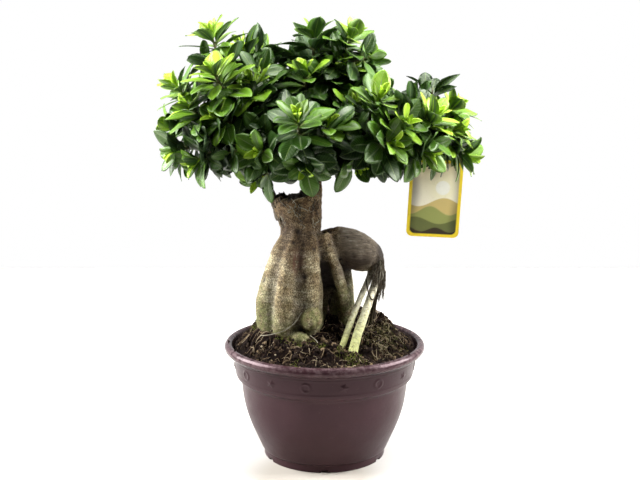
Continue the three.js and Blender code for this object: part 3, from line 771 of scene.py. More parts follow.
def corners(mesh):
    """A mesh's vertices in millimetres."""
    flat = np.zeros(len(mesh.vertices) * 3, np.float32)
    mesh.vertices.foreach_get("co", flat)
    return flat.reshape(-1, 3).astype(float) / MM


def move_vertices(mesh, places):
    """Puts a mesh's vertices at these places in millimetres."""
    mesh.vertices.foreach_set("co", (places * MM).astype(np.float32).ravel())
    mesh.update()


flat = np.zeros(len(trunk_mesh.edges) * 2, np.int32)
trunk_mesh.edges.foreach_get("vertices", flat)
edges = flat.reshape(-1, 2)
skin = relaxed(corners(trunk_mesh), edges, 16)
move_vertices(trunk_mesh, skin)
facing = np.array([normal.vector for normal in trunk_mesh.vertex_normals])
hollow = np.einsum("ij,ij->i", relaxed(skin, edges, 30) - skin, facing) / HOLLOW_DEPTH
hollow = np.clip(hollow, -1, 1)
valley = np.einsum("ij,ij->i", relaxed(skin, edges, 240) - skin, facing) / VALLEY_DEPTH
valley = np.clip(valley, -1, 1)
print("share of the skin in valleys:", round(float((valley > 0.2).mean()), 2))

# %% [markdown]
# The bark's relief is deeper than a bump map can fake at the outline. It could be sculpted by hand.
# Here the skin is moved along its normals by a sum of noises, each for one thing seen in the
# photograph: swellings, pebbly bark, fine wrinkles, warty nodules and the fibrous neck. It is gathered
# in `depth`, in millimetres.

# %% Bark relief
x, y, z = skin.T
on_arm = smoothstep(8, 24, x) * smoothstep(196, 210, z - 0.4 * (x - 30))
on_neck = smoothstep(225, 245, z) * (1 - on_arm)
on_top = smoothstep(0.5, 0.85, facing[:, 2]) * smoothstep(283, 286, z) * (x < -10)
depth = 1.1 * noise(skin, 19, 21) * (1 - 0.5 * on_arm)
depth += 0.45 * noise(skin, (6, 6, 11), 22)
depth += 0.30 * noise(skin, 3.4, 23)
depth += 0.22 * noise(skin, (4.5, 4.5, 1.7), 24) * (1 - on_arm)
nodule = np.zeros(len(skin))
for *middle, size in NODULES:
    near = smoothstep(1.6 * size, 0.8 * size, np.linalg.norm(skin - middle, axis=1))
    depth += near * (1.6 * noise(skin, 7, 27) + 0.8 * noise(skin, 3, 28))
    nodule = np.maximum(nodule, near)
depth += 0.28 * noise(skin, (14, 3, 3), 25) * on_arm
depth += (1.3 * noise(skin, (5, 5, 34), 26) + 0.6 * noise(skin, (3, 3, 13), 29)) * on_neck
depth -= 0.5 * np.clip(hollow, 0, 1)

# %% [markdown]
# Where two storage roots touch, the bark folds into a furrow. Furrows are listed as a width, a depth
# and a line. Pits and a knot are bells pressed into the skin, and a seeded draw spreads small ones
# everywhere. A sculpting brush would press the same shapes, but each mark also darkens the bark with
# painted shade in its recess, which is kept in `furrow` and `dark`.

# %% Furrows and pits
FURROWS = [
    (3.6, 1.8, [[-37, -18, 238], [-42, -24, 226], [-45, -30, 215], [-48, -33, 204], [-50, -34, 191],
                [-53, -34, 178], [-55, -34, 160], [-55, -34, 146]]),
    (4.2, 0.7, [[-29, -24, 230], [-31, -31, 214], [-32, -35, 201], [-33, -37, 188], [-34, -38, 172]]),
    (2.2, 1.2, [[-21, -32, 212], [-21, -34, 204], [-22, -35, 196]]),
    (7.0, 9.0, [[0, -15, 222], [1.5, -14, 208], [3.5, -12, 195], [5, -9, 182], [6, -8, 168], [7, -7, 136]]),
    (4.0, 2.5, [[9, -13, 190], [12, -11, 175], [14, -9, 160], [15, -8, 138]]),
    (3.0, 2.2, [[16, -10, 221], [24, -2, 206], [29, -2, 191]]),
    (3.2, 3.0, [[-64, 4, 205], [-66, 6, 180], [-64, 8, 150]]),
    (3.4, 3.4, [[-34, 40, 222], [-36, 46, 190], [-36, 46, 160], [-34, 44, 140]]),
    (3.2, 3.0, [[2, 30, 222], [3, 38, 190], [3, 38, 150]]),
]
PITS = [[-21, -32, 204, 2.5, 2.2], [-64, -22, 199, 2.6, 2.2], [-33, -24, 240, 1.7, 1.6],
        [-14, -20, 231, 1.5, 1.2], [-46, -10, 261, 3.0, 2.6], [-28, -20, 251, 2.0, 1.8],
        [-11, -15, 275, 2.2, 1.8], [-46, -38, 205, 1.2, 0.8], [5, -16, 236, 1.3, 0.9]]
SMALL_PITS, WIDE_PIT = 130, 1.4


def from_line(points, line):
    """Each point's distance from a line of points, and its share along the line."""
    best = np.full(len(points), np.inf)
    share = np.zeros(len(points))
    line = np.array(line, float)
    for i, (start, end) in enumerate(zip(line, line[1:])):
        side = end - start
        along = np.clip((points - start) @ side / (side @ side), 0, 1)
        distance = np.linalg.norm(points - start - along[:, None] * side, axis=1)
        share = np.where(distance < best, (i + along) / (len(line) - 1), share)
        best = np.minimum(best, distance)
    return best, share


furrow = np.zeros(len(skin))
for wide, deep, line in FURROWS:
    distance, share = from_line(skin, line)
    fade = smoothstep(0, 0.12, share) * smoothstep(1, 0.85, share)
    near = np.exp(-((distance / wide) ** 2)) * fade
    depth -= deep * near
    # furrow keeps how far each furrow darkens the bark with painted shade.
    furrow = np.maximum(furrow, near * min(1, deep / 5))
draw = np.random.default_rng(77)
dark = np.zeros(len(skin))
for spot in skin[draw.integers(0, len(skin), SMALL_PITS)]:
    PITS.append([*spot, draw.uniform(0.7, 1.3), draw.uniform(0.3, 0.8)])
for *middle, wide, deep in PITS:
    if wide >= WIDE_PIT:
        middle = skin[np.argmin(np.sum((skin - middle) ** 2, axis=1))]
    near = np.exp(-np.sum((skin - middle) ** 2, axis=1) / (2 * wide**2))
    depth -= deep * near
    # Painted shade: each pit darkens the bark in its recess.
    dark = np.maximum(dark, near * min(1, deep))
depth += on_top * (1.6 * noise(skin, 2.6, 31) + 1.2 * noise(skin, (1.6, 1.6, 8), 32) - 0.8)
skin = skin + facing * depth[:, None]
skin[:, 2] = np.maximum(skin[:, 2], ROOT_FLOOR)
move_vertices(trunk_mesh, skin)
print("bark relief from", round(float(depth.min()), 1), "to", round(float(depth.max()), 1), "mm")

# %% [markdown]
# Where bark is wet, dark, worn, shaded or lit depends on its place on the tree: algae keep to the foot
# and the shaded side, dirt to the sawn top, painted shade to the creases, furrows, pits, lower sides and
# the arm's underside, and a painted highlight to the ridges. It could be painted with a brush on the
# vertices. A formula for each says the same in a form that can be read and changed, and each one is
# stored as a number on the vertices.

# %% Numbers for the bark
arm_end = smoothstep(53, 60, x) * smoothstep(190, 200, z)
foot_damp = 0.85 * smoothstep(178, 128, z + 9 * noise(skin, 12, 41))
left_damp = 0.9 * smoothstep(-50, -72, x) * smoothstep(232, 150, z)
right_damp = 0.7 * smoothstep(212, 170, z) * smoothstep(6, 12, x)
damp = foot_damp + left_damp + right_damp + 0.25 * smoothstep(240, 150, z)
# Painted shade: the bark darkens in hollows and valleys between the roots.
crease_shade = 0.55 * np.clip(hollow - 0.2, 0, 1) + 0.58 * np.clip(valley, 0, 1)
crease_shade = crease_shade * (0.8 + 0.5 * noise(skin, 5, 44))
right_shade = 0.30 * smoothstep(200, 150, z) * smoothstep(8, 14, x)
left_shade = 0.15 * smoothstep(-48, -64, x) * smoothstep(205, 165, z)
dark = dark + 0.95 * on_top + 0.9 * arm_end + crease_shade + 0.8 * furrow**2 + right_shade + left_shade
bark_numbers = {
    "damp": np.clip(np.maximum(damp, 0.95 * nodule), 0, 1) * (1 - on_arm),
    # dark holds painted shade in hollows, valleys, furrows, pits and on the lower sides, with the dark sawn
    # top and arm's end.
    "dark": np.clip(dark, 0, 1),
    "smooth_skin": on_arm,
    "worn": np.exp(-((x + 30) ** 2 / 60 + (z - 221) ** 2 / 150)) * (y < -15),
    # Painted highlight on the raised ridges, and the paler skin of the nodules.
    "ridge_highlight_and_pale_nodules": np.clip(np.maximum(-1.7 * valley - 0.1, 0.8 * nodule), 0, 1) * (1 - on_arm),
    # Painted shade under the arm, where its skin faces down.
    "painted_underside_shade": on_arm * smoothstep(0.35, -0.5, facing[:, 2]),
}
for name, numbers in bark_numbers.items():
    store(trunk_mesh, name, numbers)
print("mean damp:", round(float(bark_numbers["damp"].mean()), 2))

# %% [markdown]
# Dry bark is grey-tan, with a net of brown in its pores and pale lenticels, and olive green where
# algae grow. The arm is smoother and browner, with fine lines that run along it. A bark photograph
# couldn't follow seven fused roots without seams. So one layer after another is laid over the base
# tan, each with its own noise and one of the numbers from the last cell.

# %% Bark material
look = Shader("bark", Roughness=0.82, Specular_IOR_Level=0.35)
broad = look.grain(16, detail=5)
pores = look.grain(1.3, (1, 1, 1.4), detail=7, rough=0.8, seed=1)
tan = look.ramp(pores, (0.36, 0.024, 0.018, 0.012), (0.45, 0.130, 0.107, 0.072),
                (0.53, 0.32, 0.286, 0.206), (0.64, 0.74, 0.70, 0.53))
tone = look.blend(look.step(0.62, 0.38, broad), tan, (0.56, 0.48, 0.40), mode="MULTIPLY")
neck = look.step(0.212, 0.256, look.height())
tone = look.blend(neck, tone, (0.60, 0.49, 0.40), mode="MULTIPLY")
bands = look.step(0.60, 0.44, look.grain(2.2, (3, 3, 0.3), detail=4, seed=11))
tone = look.blend(bands, tone, (0.40, 0.34, 0.26), 0.5, "MULTIPLY")
streaks = look.step(0.60, 0.42, look.grain(11, (2.2, 2.2, 0.55), detail=6, seed=15))
tone = look.blend(streaks, tone, (0.46, 0.38, 0.28), 0.75, "MULTIPLY")
# Painted highlight: the ridges and nodules are lighter.
tone = look.blend(look.value("ridge_highlight_and_pale_nodules"), tone, (2.05, 2.02, 1.70), 0.52, "MULTIPLY")
lines = look.grain(2.0, (7, 1, 1), detail=5, rough=0.7, seed=6)
arm = look.ramp(lines, (0.30, 0.060, 0.043, 0.030), (0.55, 0.150, 0.118, 0.083), (0.72, 0.31, 0.262, 0.195))
# Painted shade: the arm's underside is darker.
arm = look.blend(look.value("painted_underside_shade"), arm, (0.30, 0.24, 0.20), mode="MULTIPLY")
tone = look.blend(look.value("smooth_skin"), tone, arm)
worn = look.math("MULTIPLY", look.value("worn"), look.step(0.38, 0.55, look.grain(4, seed=12)), clamp=True)
tone = look.blend(worn, tone, (0.105, 0.045, 0.028))
algae = look.ramp(pores, (0.35, 0.034, 0.034, 0.009), (0.58, 0.185, 0.200, 0.062), (0.72, 0.36, 0.38, 0.15))
wet = look.times(look.value("damp"), look.step(0.30, 0.62, look.grain(7, detail=6, seed=7)))
tone = look.blend(wet, tone, algae, 0.9)
# Painted shade in hollows, furrows and pits, with the dark sawn top and the arm's end.
tone = look.blend(look.value("dark"), tone, (0.016, 0.010, 0.007))
wrinkle = look.grain(1.3, (1, 1, 0.45), detail=4, rough=0.7, seed=2)
relief = look.bump(wrinkle, 0.55, look.bump(pores, 0.9))
piece(trunk_mesh, look.finish(tone, relief), "bark", "tree")

# %% [markdown]
# ## Aerial roots
#
# Two pale aerial roots and a dark thread leave the blunt end of the arm and run to the front of the
# pot. They are round and firm, ringed by fine dark lines, whitish above and yellow-green below. They
# could be melted into the trunk's skin, but a voxel that suits bark is too coarse for them. So they
# are tubes of their own, made uneven by noise along each vertex's way out from the middle line.

# %% Aerial roots
THREAD = 2


def out_of_limb(limb, vertices, sides, steps):
    """Each tube vertex's direction out of the limb, and the limb's radius there."""
    middle, radius = curve(limb, steps)
    centre = np.vstack([np.repeat(middle, sides, axis=0), middle[:1], middle[-1:]])
    return unit(vertices - centre + 1e-9), np.append(np.repeat(radius, sides), radius[[0, -1]])


roots = Pile("green", "dark")
for number, limb in enumerate(AERIAL_ROOTS):
    slim = number == THREAD
    sides, steps = (8, 60) if slim else (28, 180)
    limb = [[x, y, z, (1 if slim else 0.9) * size] for x, y, z, size in limb]
    vertices, faces = tube(limb, sides, steps)
    way_out, _ = out_of_limb(limb, vertices, sides, steps)
    swell = 0.28 * noise(vertices, (9, 9, 9), 51 + number) + 0.12 * noise(vertices, 2.2, 54 + number)
    vertices = vertices + way_out * swell[:, None]
    vertices[:, 2] = np.maximum(vertices[:, 2], ROOT_FLOOR + 0.5)
    level = vertices[:, 2]
    patches = smoothstep(150, 200, level) * smoothstep(0.0, 0.5, noise(vertices, (3, 3, 6), 58))
    stain = 0.92 if slim else np.maximum(0.85 * smoothstep(191, 204, level), 0.75 * patches)
    roots.add(vertices, faces, green=smoothstep(190, 130, level), dark=stain)
print("aerial roots:", len(AERIAL_ROOTS))

# %% [markdown]
# A tangle of dead fibres hangs from the arm's end over the start of the aerial roots, and a few loose
# ones cross the bark. Hair would be the first thought, but it wouldn't be part of the mesh. So each
# fibre is a thin tube bowed between two seeded ends, first all round the arm's end, then in front.

# %% Fibre tangle
ROUND_FIBRES, FRONT_FIBRES = 240, 80


def add_fibre(start, end, bow, thick, dark):
    """A fibre that tapers from a start to an end, bowed aside in its middle."""
    middle = (start + end) / 2 + bow
    roots.add_tube([[*start, thick], [*middle, thick], [*end, 0.12]], 5, 12, dark=dark)


draw = np.random.default_rng(5)
for _ in range(ROUND_FIBRES):
    turn = draw.uniform(-2.6, 1.6)
    reach = draw.uniform(3, 12)
    start = np.array([draw.uniform(54, 62) - 0.35 * reach, reach * np.cos(turn), 217 - reach * np.sin(turn)])
    end = np.array([draw.normal(57.5, 3), draw.normal(-2, 4), draw.uniform(168, 208)])
    bow = [draw.uniform(1, 6), draw.normal(0, 2.5), draw.normal(0, 2)]
    add_fibre(start, end, bow, draw.uniform(0.25, 0.85), draw.uniform(0.80, 1))
for _ in range(FRONT_FIBRES):
    start = np.array([draw.uniform(51, 61), draw.uniform(-9, -2), draw.uniform(203, 218)])
    end = np.array([draw.normal(54, 3), draw.normal(-11, 3), draw.uniform(186, 204)])
    bow = [draw.uniform(-2, 4), draw.uniform(-5, 0), draw.normal(0, 2)]
    add_fibre(start, end, bow, draw.uniform(0.25, 0.75), draw.choice([0.62, 0.82, 0.95]))

CROSSING = [
    (0.95, [[45, -8, 196, 0.7], [46, -15, 188, 0.75], [48, -19.5, 181, 0.75], [51.5, -20, 176.5, 0.75],
            [54.5, -13, 180, 0.7], [57, -5, 190, 0.7], [59, 0, 200, 0.6]]),
    (0.6, [[-68, -38, 142, 0.45], [-60, -47, 145, 0.45], [-44, -50, 150, 0.4], [-32, -47.5, 158, 0.35],
           [-24, -40, 168, 0.25]]),
    (0.1, [[-6, -50, 134, 0.35], [-9, -53, 141, 0.35], [-15, -52, 146, 0.3]]),
    (0.95, [[60, 2, 226, 1.3], [63.5, 0, 214, 1.4], [61, -2, 196, 1.3], [57, 0, 176, 1.2],
            [54, 2, 150, 1.1]]),
]
for stain, limb in CROSSING:
    roots.add_tube(limb, 6, 24, dark=stain)
print("fibres:", ROUND_FIBRES + FRONT_FIBRES + len(CROSSING))

# %% [markdown]
# The stump was sawn and has weathered: shreds of bark hang down its side, and short splinters stand
# round its top. They could be cut out of the trunk's skin, which is too thick for that. So they are
# more thin tubes, laid down the stump's side by a table of its radius at four heights, or stood up
# from its edge.

# %% Stump shreds
SHREDS, SPLINTERS = 90, 12
STUMP_LEVELS = [226, 248, 268, 287]
STUMP_MIDDLES = [-23, -24, -27, -32]
STUMP_RADII = [22, 21.5, 22.5, 25.5]
TOP_MIDDLE, TOP_RADIUS = -31, 23

for _ in range(SHREDS):
    turn = draw.uniform(-1.15, 0.15) * np.pi
    level, length = draw.uniform(262, 289), draw.uniform(4, 15)
    path = []
    for share in (0, 0.35, 0.7, 1):
        z = level - share * length
        middle = np.interp(z, STUMP_LEVELS, STUMP_MIDDLES)
        spread = np.interp(z, STUMP_LEVELS, STUMP_RADII) + 0.3 + 1.2 * draw.random() * (share > 0)
        path.append([middle + spread * np.cos(turn), spread * np.sin(turn), z, draw.uniform(0.2, 0.5)])
        turn += draw.normal(0, 0.13)
    roots.add_tube(path, 4, 9, dark=draw.choice([0.55, 0.75, 0.9, 0.97]))
for _ in range(SPLINTERS):
    turn = draw.uniform(0.55, 1.2) * np.pi
    side = TOP_RADIUS * np.sin(turn) * draw.choice([-1, 1])
    foot = np.array([TOP_MIDDLE + TOP_RADIUS * np.cos(turn), side, draw.uniform(272, 285)])
    lean = np.array([np.cos(turn) * draw.uniform(0.1, 0.9), draw.normal(0, 0.3), 1.0])
    tip = foot + lean * draw.uniform(4, 11)
    thick = draw.uniform(0.5, 1.2)
    splinter = [[*foot, thick], [*mix(foot, tip, 0.6), 0.8 * thick], [*tip, 0.5 * thick]]
    vertices, faces = tube(splinter, 6, 8)
    vertices = vertices + 0.25 * noise(vertices, 1.8, 57)[:, None]
    roots.add(vertices, faces, dark=draw.uniform(0.82, 1))
print("shreds and splinters:", SHREDS + SPLINTERS)

# %% [markdown]
# Young root skin is smooth and pale, with fine dark rings across it, olive patches and some stains.
# It could share the bark's material, but it has none of its pores. So it gets a short one of its own:
# two ramps, for pale and mossy skin, mixed by `green`, then rings and flaws, and `dark` over all.

# %% Root skin material
look = Shader("root_skin", Roughness=0.8, Specular_IOR_Level=0.15)
pale = look.ramp(look.grain(3, (1, 1, 2), detail=4), (0.35, 0.42, 0.38, 0.26), (0.65, 0.74, 0.71, 0.56))
mossy = look.ramp(look.grain(3, (1, 1, 2), detail=5, seed=3), (0.35, 0.15, 0.165, 0.040),
                  (0.65, 0.47, 0.49, 0.18))
tone = look.blend(look.value("green"), pale, mossy, 0.9)
rings = look.step(0.58, 0.68, look.grain(3.4, (3, 3, 0.22), detail=3, rough=0.6, seed=5))
tone = look.blend(rings, tone, (0.09, 0.07, 0.03), 0.75)
flaw = look.step(0.56, 0.68, look.grain(3.4, detail=5, seed=9))
tone = look.blend(flaw, tone, (0.06, 0.045, 0.022), 0.7)
tone = look.blend(look.value("dark"), tone, (0.024, 0.013, 0.007))
root_skin = look.finish(tone, look.bump(look.grain(1.5, (1, 1, 0.5), detail=4), 0.3))
piece(roots.mesh("aerial_roots"), root_skin, "bark")

# %% [markdown]
# ## Boughs
#
# Above the stump the grafted boughs are thin and rough. They stay round, so no remesh is needed: each
# is a fine tube on the CAD's line with noise on its radius. A skin modifier on a skeleton of edges
# could grow them too, but it wouldn't keep to the CAD's radii.

# %% Boughs
wood = Pile("young", "dark")


def add_bough(limb, sides, steps, young, dark=0.0):
    vertices, faces = tube(limb, sides, steps)
    way_out, radius = out_of_limb(limb, vertices, sides, steps)
    swell = (0.10 * noise(vertices, 3.2, 61) + 0.10 * noise(vertices, 8, 62)) * radius
    wood.add(vertices + way_out * swell[:, None], faces, young=young, dark=dark)


samples = []
for limb in BOUGHS.values():
    add_bough(limb, 16, 20 * (len(limb) - 1), 0.15, 0.25)
    samples.append(curve(limb, 60)[0][10:])
samples = np.vstack(samples)
add_bough(TAG_TWIG, 12, 40, 0.6)
print("boughs:", len(BOUGHS))

# %% [markdown]
# Each leafy shoot is carried by a sprig that leaves the nearest point of a bough and ends square to
# the shoot, as in the CAD. The shoots' tips are the CAD's own places. The inside of the crown is
# shaded and full of short side shoots, which could be drawn as a dark mass. They are grown here from
# seeded places on the boughs, so that light and air pass between them. Nine more, in `SIDE_SHOOTS`,
# thicken the crown near its outline.

# %% Shoots and sprigs
CROWN_HEART = (-12, 8)
TWIG_LENGTH = 34
LEAF_LENGTH = 37
SHOOTS = [
    [-118, 6, 453, 74, 9], [-86, 26, 440, 60, 7], [-151, -20, 400, 54, 8], [-110, -58, 416, 58, 8],
    [-72, -42, 404, 58, 8], [-48, 4, 404, 62, 8], [-12, 10, 455, 80, 9], [27, 0, 451, 62, 9],
    [-20, -34, 414, 62, 7], [14, -14, 418, 62, 7], [-134, -50, 380, 34, 7], [-160, 0, 358, 16, 7],
    [-104, -64, 372, 24, 7], [-26, -108, 372, 52, 8], [2, -90, 366, 48, 7], [52, -68, 390, 56, 8],
    [86, -24, 376, 60, 8], [108, -60, 371, 50, 8], [134, 0, 378, 46, 9], [27, -50, 380, 52, 7],
    [75, -82, 366, 34, 8], [132, -32, 358, 24, 7], [62, -94, 350, 8, 7], [14, -66, 350, 18, 7],
    [-62, -90, 341, 0, 7], [-126, -66, 331, -26, 7], [-149, -38, 337, -20, 7], [-20, -102, 329, -28, 7],
    [98, -70, 339, -22, 7], [147, -18, 331, -22, 7], [30, -66, 328, -28, 7], [-64, -46, 312, -26, 7],
    [-124, 60, 400, 45, 7], [-78, 80, 428, 56, 7], [0, 84, 442, 64, 7], [42, 66, 424, 54, 7],
    [106, 56, 370, 46, 7], [-146, 50, 357, 8, 7], [-86, 122, 382, 22, 7], [-14, 138, 394, 30, 7],
    [66, 122, 368, 16, 7], [134, 72, 352, 8, 7], [-42, 112, 338, -22, 7], [34, 106, 336, -22, 7],
    [-106, 84, 338, -22, 7], [94, 88, 336, -20, 7],
]

SIDE_SHOOTS = [
    [-124, 16, 428, 52, 8], [-98, -24, 430, 62, 8], [-64, 34, 432, 60, 7], [6, 36, 436, 66, 8],
    [-142, 24, 392, 34, 8], [44, 20, 420, 52, 8], [-30, 40, 430, 66, 7], [-118, -70, 350, -4, 8],
    [-92, -84, 340, -16, 8],
]
INNER_SHOOTS, FIRST_INNER = 120, 101
INNER_MIDDLE, INNER_REACH, INNER_FLOOR = [-6, 8, 378], [128, 104, 66], 326


class Shoot:
    """One leafy shoot: its tip, the direction it grows in, and how many leaves it has."""

    def __init__(self, number, tip, axis, leaves):
        self.number, self.leaves, self.tip, self.axis = number, leaves, tip, axis
        self.base = tip - TWIG_LENGTH * axis


def cad_shoot(number, x, y, z, elevation, leaves):
    outward = unit(np.array([x - CROWN_HEART[0], y - CROWN_HEART[1], 0.0]))
    lift = np.radians(elevation)
    axis = outward * np.cos(lift) + np.array([0, 0, np.sin(lift)])
    return Shoot(number, np.array([x, y, z], float), axis, leaves)


shoots = [cad_shoot(i + 1, *row) for i, row in enumerate(SHOOTS)]
draw = np.random.default_rng(404)
inner = []
while len(inner) < INNER_SHOOTS:
    start = samples[draw.integers(len(samples))]
    outward = unit(start - [-8, 8, 350])
    axis = unit(draw.normal(size=3) * [1, 1, 0.7] + 0.9 * outward + [0, 0, 0.2])
    tip = start + axis * draw.uniform(36, 58)
    if np.sum(((tip - INNER_MIDDLE) / INNER_REACH) ** 2) < 1 and tip[2] > INNER_FLOOR:
        inner.append(Shoot(FIRST_INNER + len(inner), tip, axis, 7))
        add_bough([[*start, 1.7], [*mix(start, tip, 0.45), 1.4], [*tip, 0.9]], 6, 10, 0.6)
for row in SIDE_SHOOTS:
    inner.append(cad_shoot(FIRST_INNER + len(inner), *row))
for shoot in shoots + inner[INNER_SHOOTS:]:
    nearest = samples[np.argmin(np.linalg.norm(samples - (shoot.base - 26 * shoot.axis), axis=1))]
    bend, foot = shoot.base - 12 * shoot.axis, shoot.base - 0.3 * shoot.axis
    add_bough([[*nearest, 2.15], [*bend, 1.9], [*foot, 1.65]], 10, 24, 0.55)
print("shoots:", len(shoots), "and", len(inner), "inside")

# %% [markdown]
# Old boughs have grey-brown bark like the trunk's, and young sprigs are olive. Two materials would
# end at a hard line between them. So one material has both colours and mixes them by `young`.

# %% Bough material
look = Shader("bough_bark", Roughness=0.8, Specular_IOR_Level=0.35)
pores = look.grain(1.6, (1, 1, 1), detail=6, rough=0.75)
old = look.ramp(pores, (0.35, 0.028, 0.018, 0.012), (0.55, 0.11, 0.08, 0.052), (0.72, 0.25, 0.20, 0.14))
fresh = look.ramp(pores, (0.35, 0.045, 0.042, 0.018), (0.65, 0.16, 0.155, 0.07))
tone = look.blend(look.value("young"), old, fresh)
tone = look.blend(look.value("dark"), tone, (0.02, 0.014, 0.01))
piece(wood.mesh("boughs"), look.finish(tone, look.bump(pores, 0.6)), "bark")

# %% [markdown]
# ## Leaves
#
# A ficus shoot carries a rosette of thick, glossy, elliptic leaves on short stalks, spiralling down
# from a pointed bud. Leaves are often scattered as copies of one model. Here each CAD leaf has its own
# seeded pose, so each is grown again on the same midrib. A pose counts only if its tip is a corner of
# the CAD's node, and then the leaf stands exactly where the frame has it.

# %% Leaf poses
GOLDEN_ANGLE = 2.39996
CAD_TRIES, SAME_PLACE = 14, 0.05


def stream(seed):
    """The CAD's repeatable numbers from 0 to 1."""
    state = 1 + seed * 7919 % 2147483646
    while True:
        state = state * 48271 % 2147483647
        yield state / 2147483647


def leaf_pose(shoot, leaf, attempt):
    """Where one leaf stands, as the CAD has it. Leaf 0 is the youngest, at the tip."""
    numbers = stream(int(shoot.number * 1009 + leaf * 101) + attempt * 7)
    next(numbers), next(numbers)
    age = leaf / (shoot.leaves - 1)
    stray = 1 + attempt / 5
    across = unit(np.cross((0.31, 0.17, 1), shoot.axis))
    turn = leaf * GOLDEN_ANGLE + shoot.number + 0.5 * stray * (next(numbers) - 0.5)
    radial = across * np.cos(turn) + np.cross(shoot.axis, across) * np.sin(turn)
    pitch = mix(0.35, 1.45, age**0.7) + 0.3 * stray * (next(numbers) - 0.5)
    direction = shoot.axis * np.cos(pitch) + radial * np.sin(pitch)
    direction[2] -= mix(0.05, 0.36, age) * next(numbers) * (1.4 if shoot.axis[2] < 0 else 1)
    direction = unit(direction)
    normal = shoot.axis * np.sin(pitch) - radial * np.cos(pitch) + np.array([0, 0, 0.45])
    normal = normal + radial * 0.3 * (next(numbers) - 0.5)
    normal = unit(normal - direction * np.dot(normal, direction))
    length = LEAF_LENGTH * mix(0.66, 1, min(1, 3 * age)) * mix(0.86, 1.14, next(numbers))
    width = length * 0.5 * mix(0.88, 1.1, next(numbers))
    bend = mix(0.15, 0.75, next(numbers))
    place = shoot.tip - shoot.axis * mix(1.5, TWIG_LENGTH - 4, age**1.25)
    return {"place": place, "direction": direction, "normal": normal,
            "side": np.cross(direction, normal),
            "length": length, "width": width, "bend": bend, "age": age}


def midrib(pose, share):
    """Places along a leaf's arched midrib, and the blade's normal there."""
    turn = (pose["bend"] * share)[:, None]
    arc = pose["length"] / pose["bend"]
    line = (pose["place"] + pose["direction"] * arc * np.sin(turn)
            - pose["normal"] * arc * (1 - np.cos(turn)))
    return line, pose["normal"] * np.cos(turn) + pose["direction"] * np.sin(turn)


def cad_poses(shoot):
    """The poses that the CAD gave this shoot's leaves."""
    cad_corners = corners(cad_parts[f"shoot_{shoot.number:02d}"].data)
    found = []
    for leaf in range(shoot.leaves):
        for attempt in range(CAD_TRIES):
            pose = leaf_pose(shoot, leaf, attempt)
            tip = midrib(pose, np.ones(1))[0]
            if np.linalg.norm(cad_corners - tip, axis=1).min() < SAME_PLACE:
                found.append(pose)
                break
    return found


poses = [cad_poses(shoot) for shoot in shoots]
print(sum(map(len, poses)), "leaves found in the frame of", sum(shoot.leaves for shoot in shoots))

# %% [markdown]
# A real leaf is a stalk that widens into a folded, slightly wavy blade with a midrib raised below. A
# flat card with a leaf picture is the quick way, but its edge has no thickness and it can't fold. So
# the blade is a closed shell of some 120 points, or half as many for young and inner leaves, and each
# vertex remembers where on the blade it lies. The veins are drawn from that.

# %% Leaf shape
STALK_END = 0.10
LEAF_FULLNESS = 1.08
FINE = (np.array([0, 0.05, 0.10, 0.15, 0.22, 0.32, 0.44, 0.56, 0.68, 0.79, 0.88, 0.95, 1]),
        [-1, -0.62, -0.24, 0, 0.24, 0.62, 1], [-1, -0.25, 0.25, 1])
PLAIN = (np.array([0, 0.08, 0.15, 0.28, 0.46, 0.64, 0.82, 0.93, 1]), [-1, -0.5, 0, 0.5, 1], [-1, 0, 1])
leaf_draw = np.random.default_rng(31)


def leaf_shell(pose, fold=None, wave=None, detail=FINE):
    """A leaf's closed shell: vertices, faces, and the share along and across it of each vertex."""
    stations, above, below = detail
    across = np.array(below[::-1][:-1] + above[:-1])
    level = np.where(np.abs(across) == 1, 0, np.where(np.arange(len(across)) < len(below), -1, 1))
    fold = leaf_draw.uniform(0.08, 0.34) if fold is None else fold
    wave = leaf_draw.uniform(0.2, 1.0) if wave is None else wave
    phase = leaf_draw.random()
    line, normal = midrib(pose, stations)
    blade = np.clip((stations - STALK_END) / (1 - STALK_END), 0, 1)
    half = LEAF_FULLNESS * pose["width"] / 2 * np.sin(np.pi * blade**1.18) ** 0.68
    half = np.maximum(half, np.where(stations < 0.5, 0.75, 0.12))[:, None]
    on_blade = smoothstep(0.10, 0.2, stations)[:, None]
    thick = mix(0.75, 0.20, on_blade)
    edge = np.abs(across)
    lift = thick * level * np.sqrt(np.clip(1 - across**2, 0, 1))
    lift = lift + on_blade * half * fold * edge * (1 - 0.35 * edge)
    ripple = np.sin(2 * np.pi * (1.6 * stations[:, None] + phase + 0.18 * across))
    lift = lift + on_blade * wave * across**2 * ripple
    rib = np.exp(-((across / 0.16) ** 2)) * (1 - stations[:, None])
    lift = lift - on_blade * rib * np.where(level < 0, 0.55, 0.35)
    shell = line[:, None] + pose["side"] * (half * across)[:, :, None] + normal[:, None] * lift[:, :, None]
    vertices, faces = closed_shell(shell, line[0], line[-1])
    rings, sides = len(stations), len(across)
    values = {
        "along": np.append(np.repeat(blade, sides), [0, 1]),
        "across": np.append(np.tile(across, rings), [0, 0]),
        "under": np.append(np.tile(np.where(level < 0, 1.0, 0.0), rings), [0, 0]),
        "stalk": np.append(np.repeat(1 - on_blade[:, 0], sides), [1, 0]),
    }
    return vertices, faces, values


# %% [markdown]
# A ficus leaf is waxy: dark and glossy above, dull and paler below, yellow-green while it is young,
# with fine side veins that run out from the midrib. An image of one leaf would show on every leaf.
# So the colour comes from the leaf's age with painted light and shade for its place, and a draw of its
# own, the veins from the place on the blade, and noise adds patches, blemishes and an uneven gloss.

# %% Leaf material
look = Shader("leaf", Specular_IOR_Level=0.40, Specular_Tint=(0.90, 1.0, 0.76, 1))
fresh, under, along = look.value("fresh"), look.value("under"), look.value("along")
side = look.math("ABSOLUTE", look.value("across"))
patch = look.grain(9, detail=4)
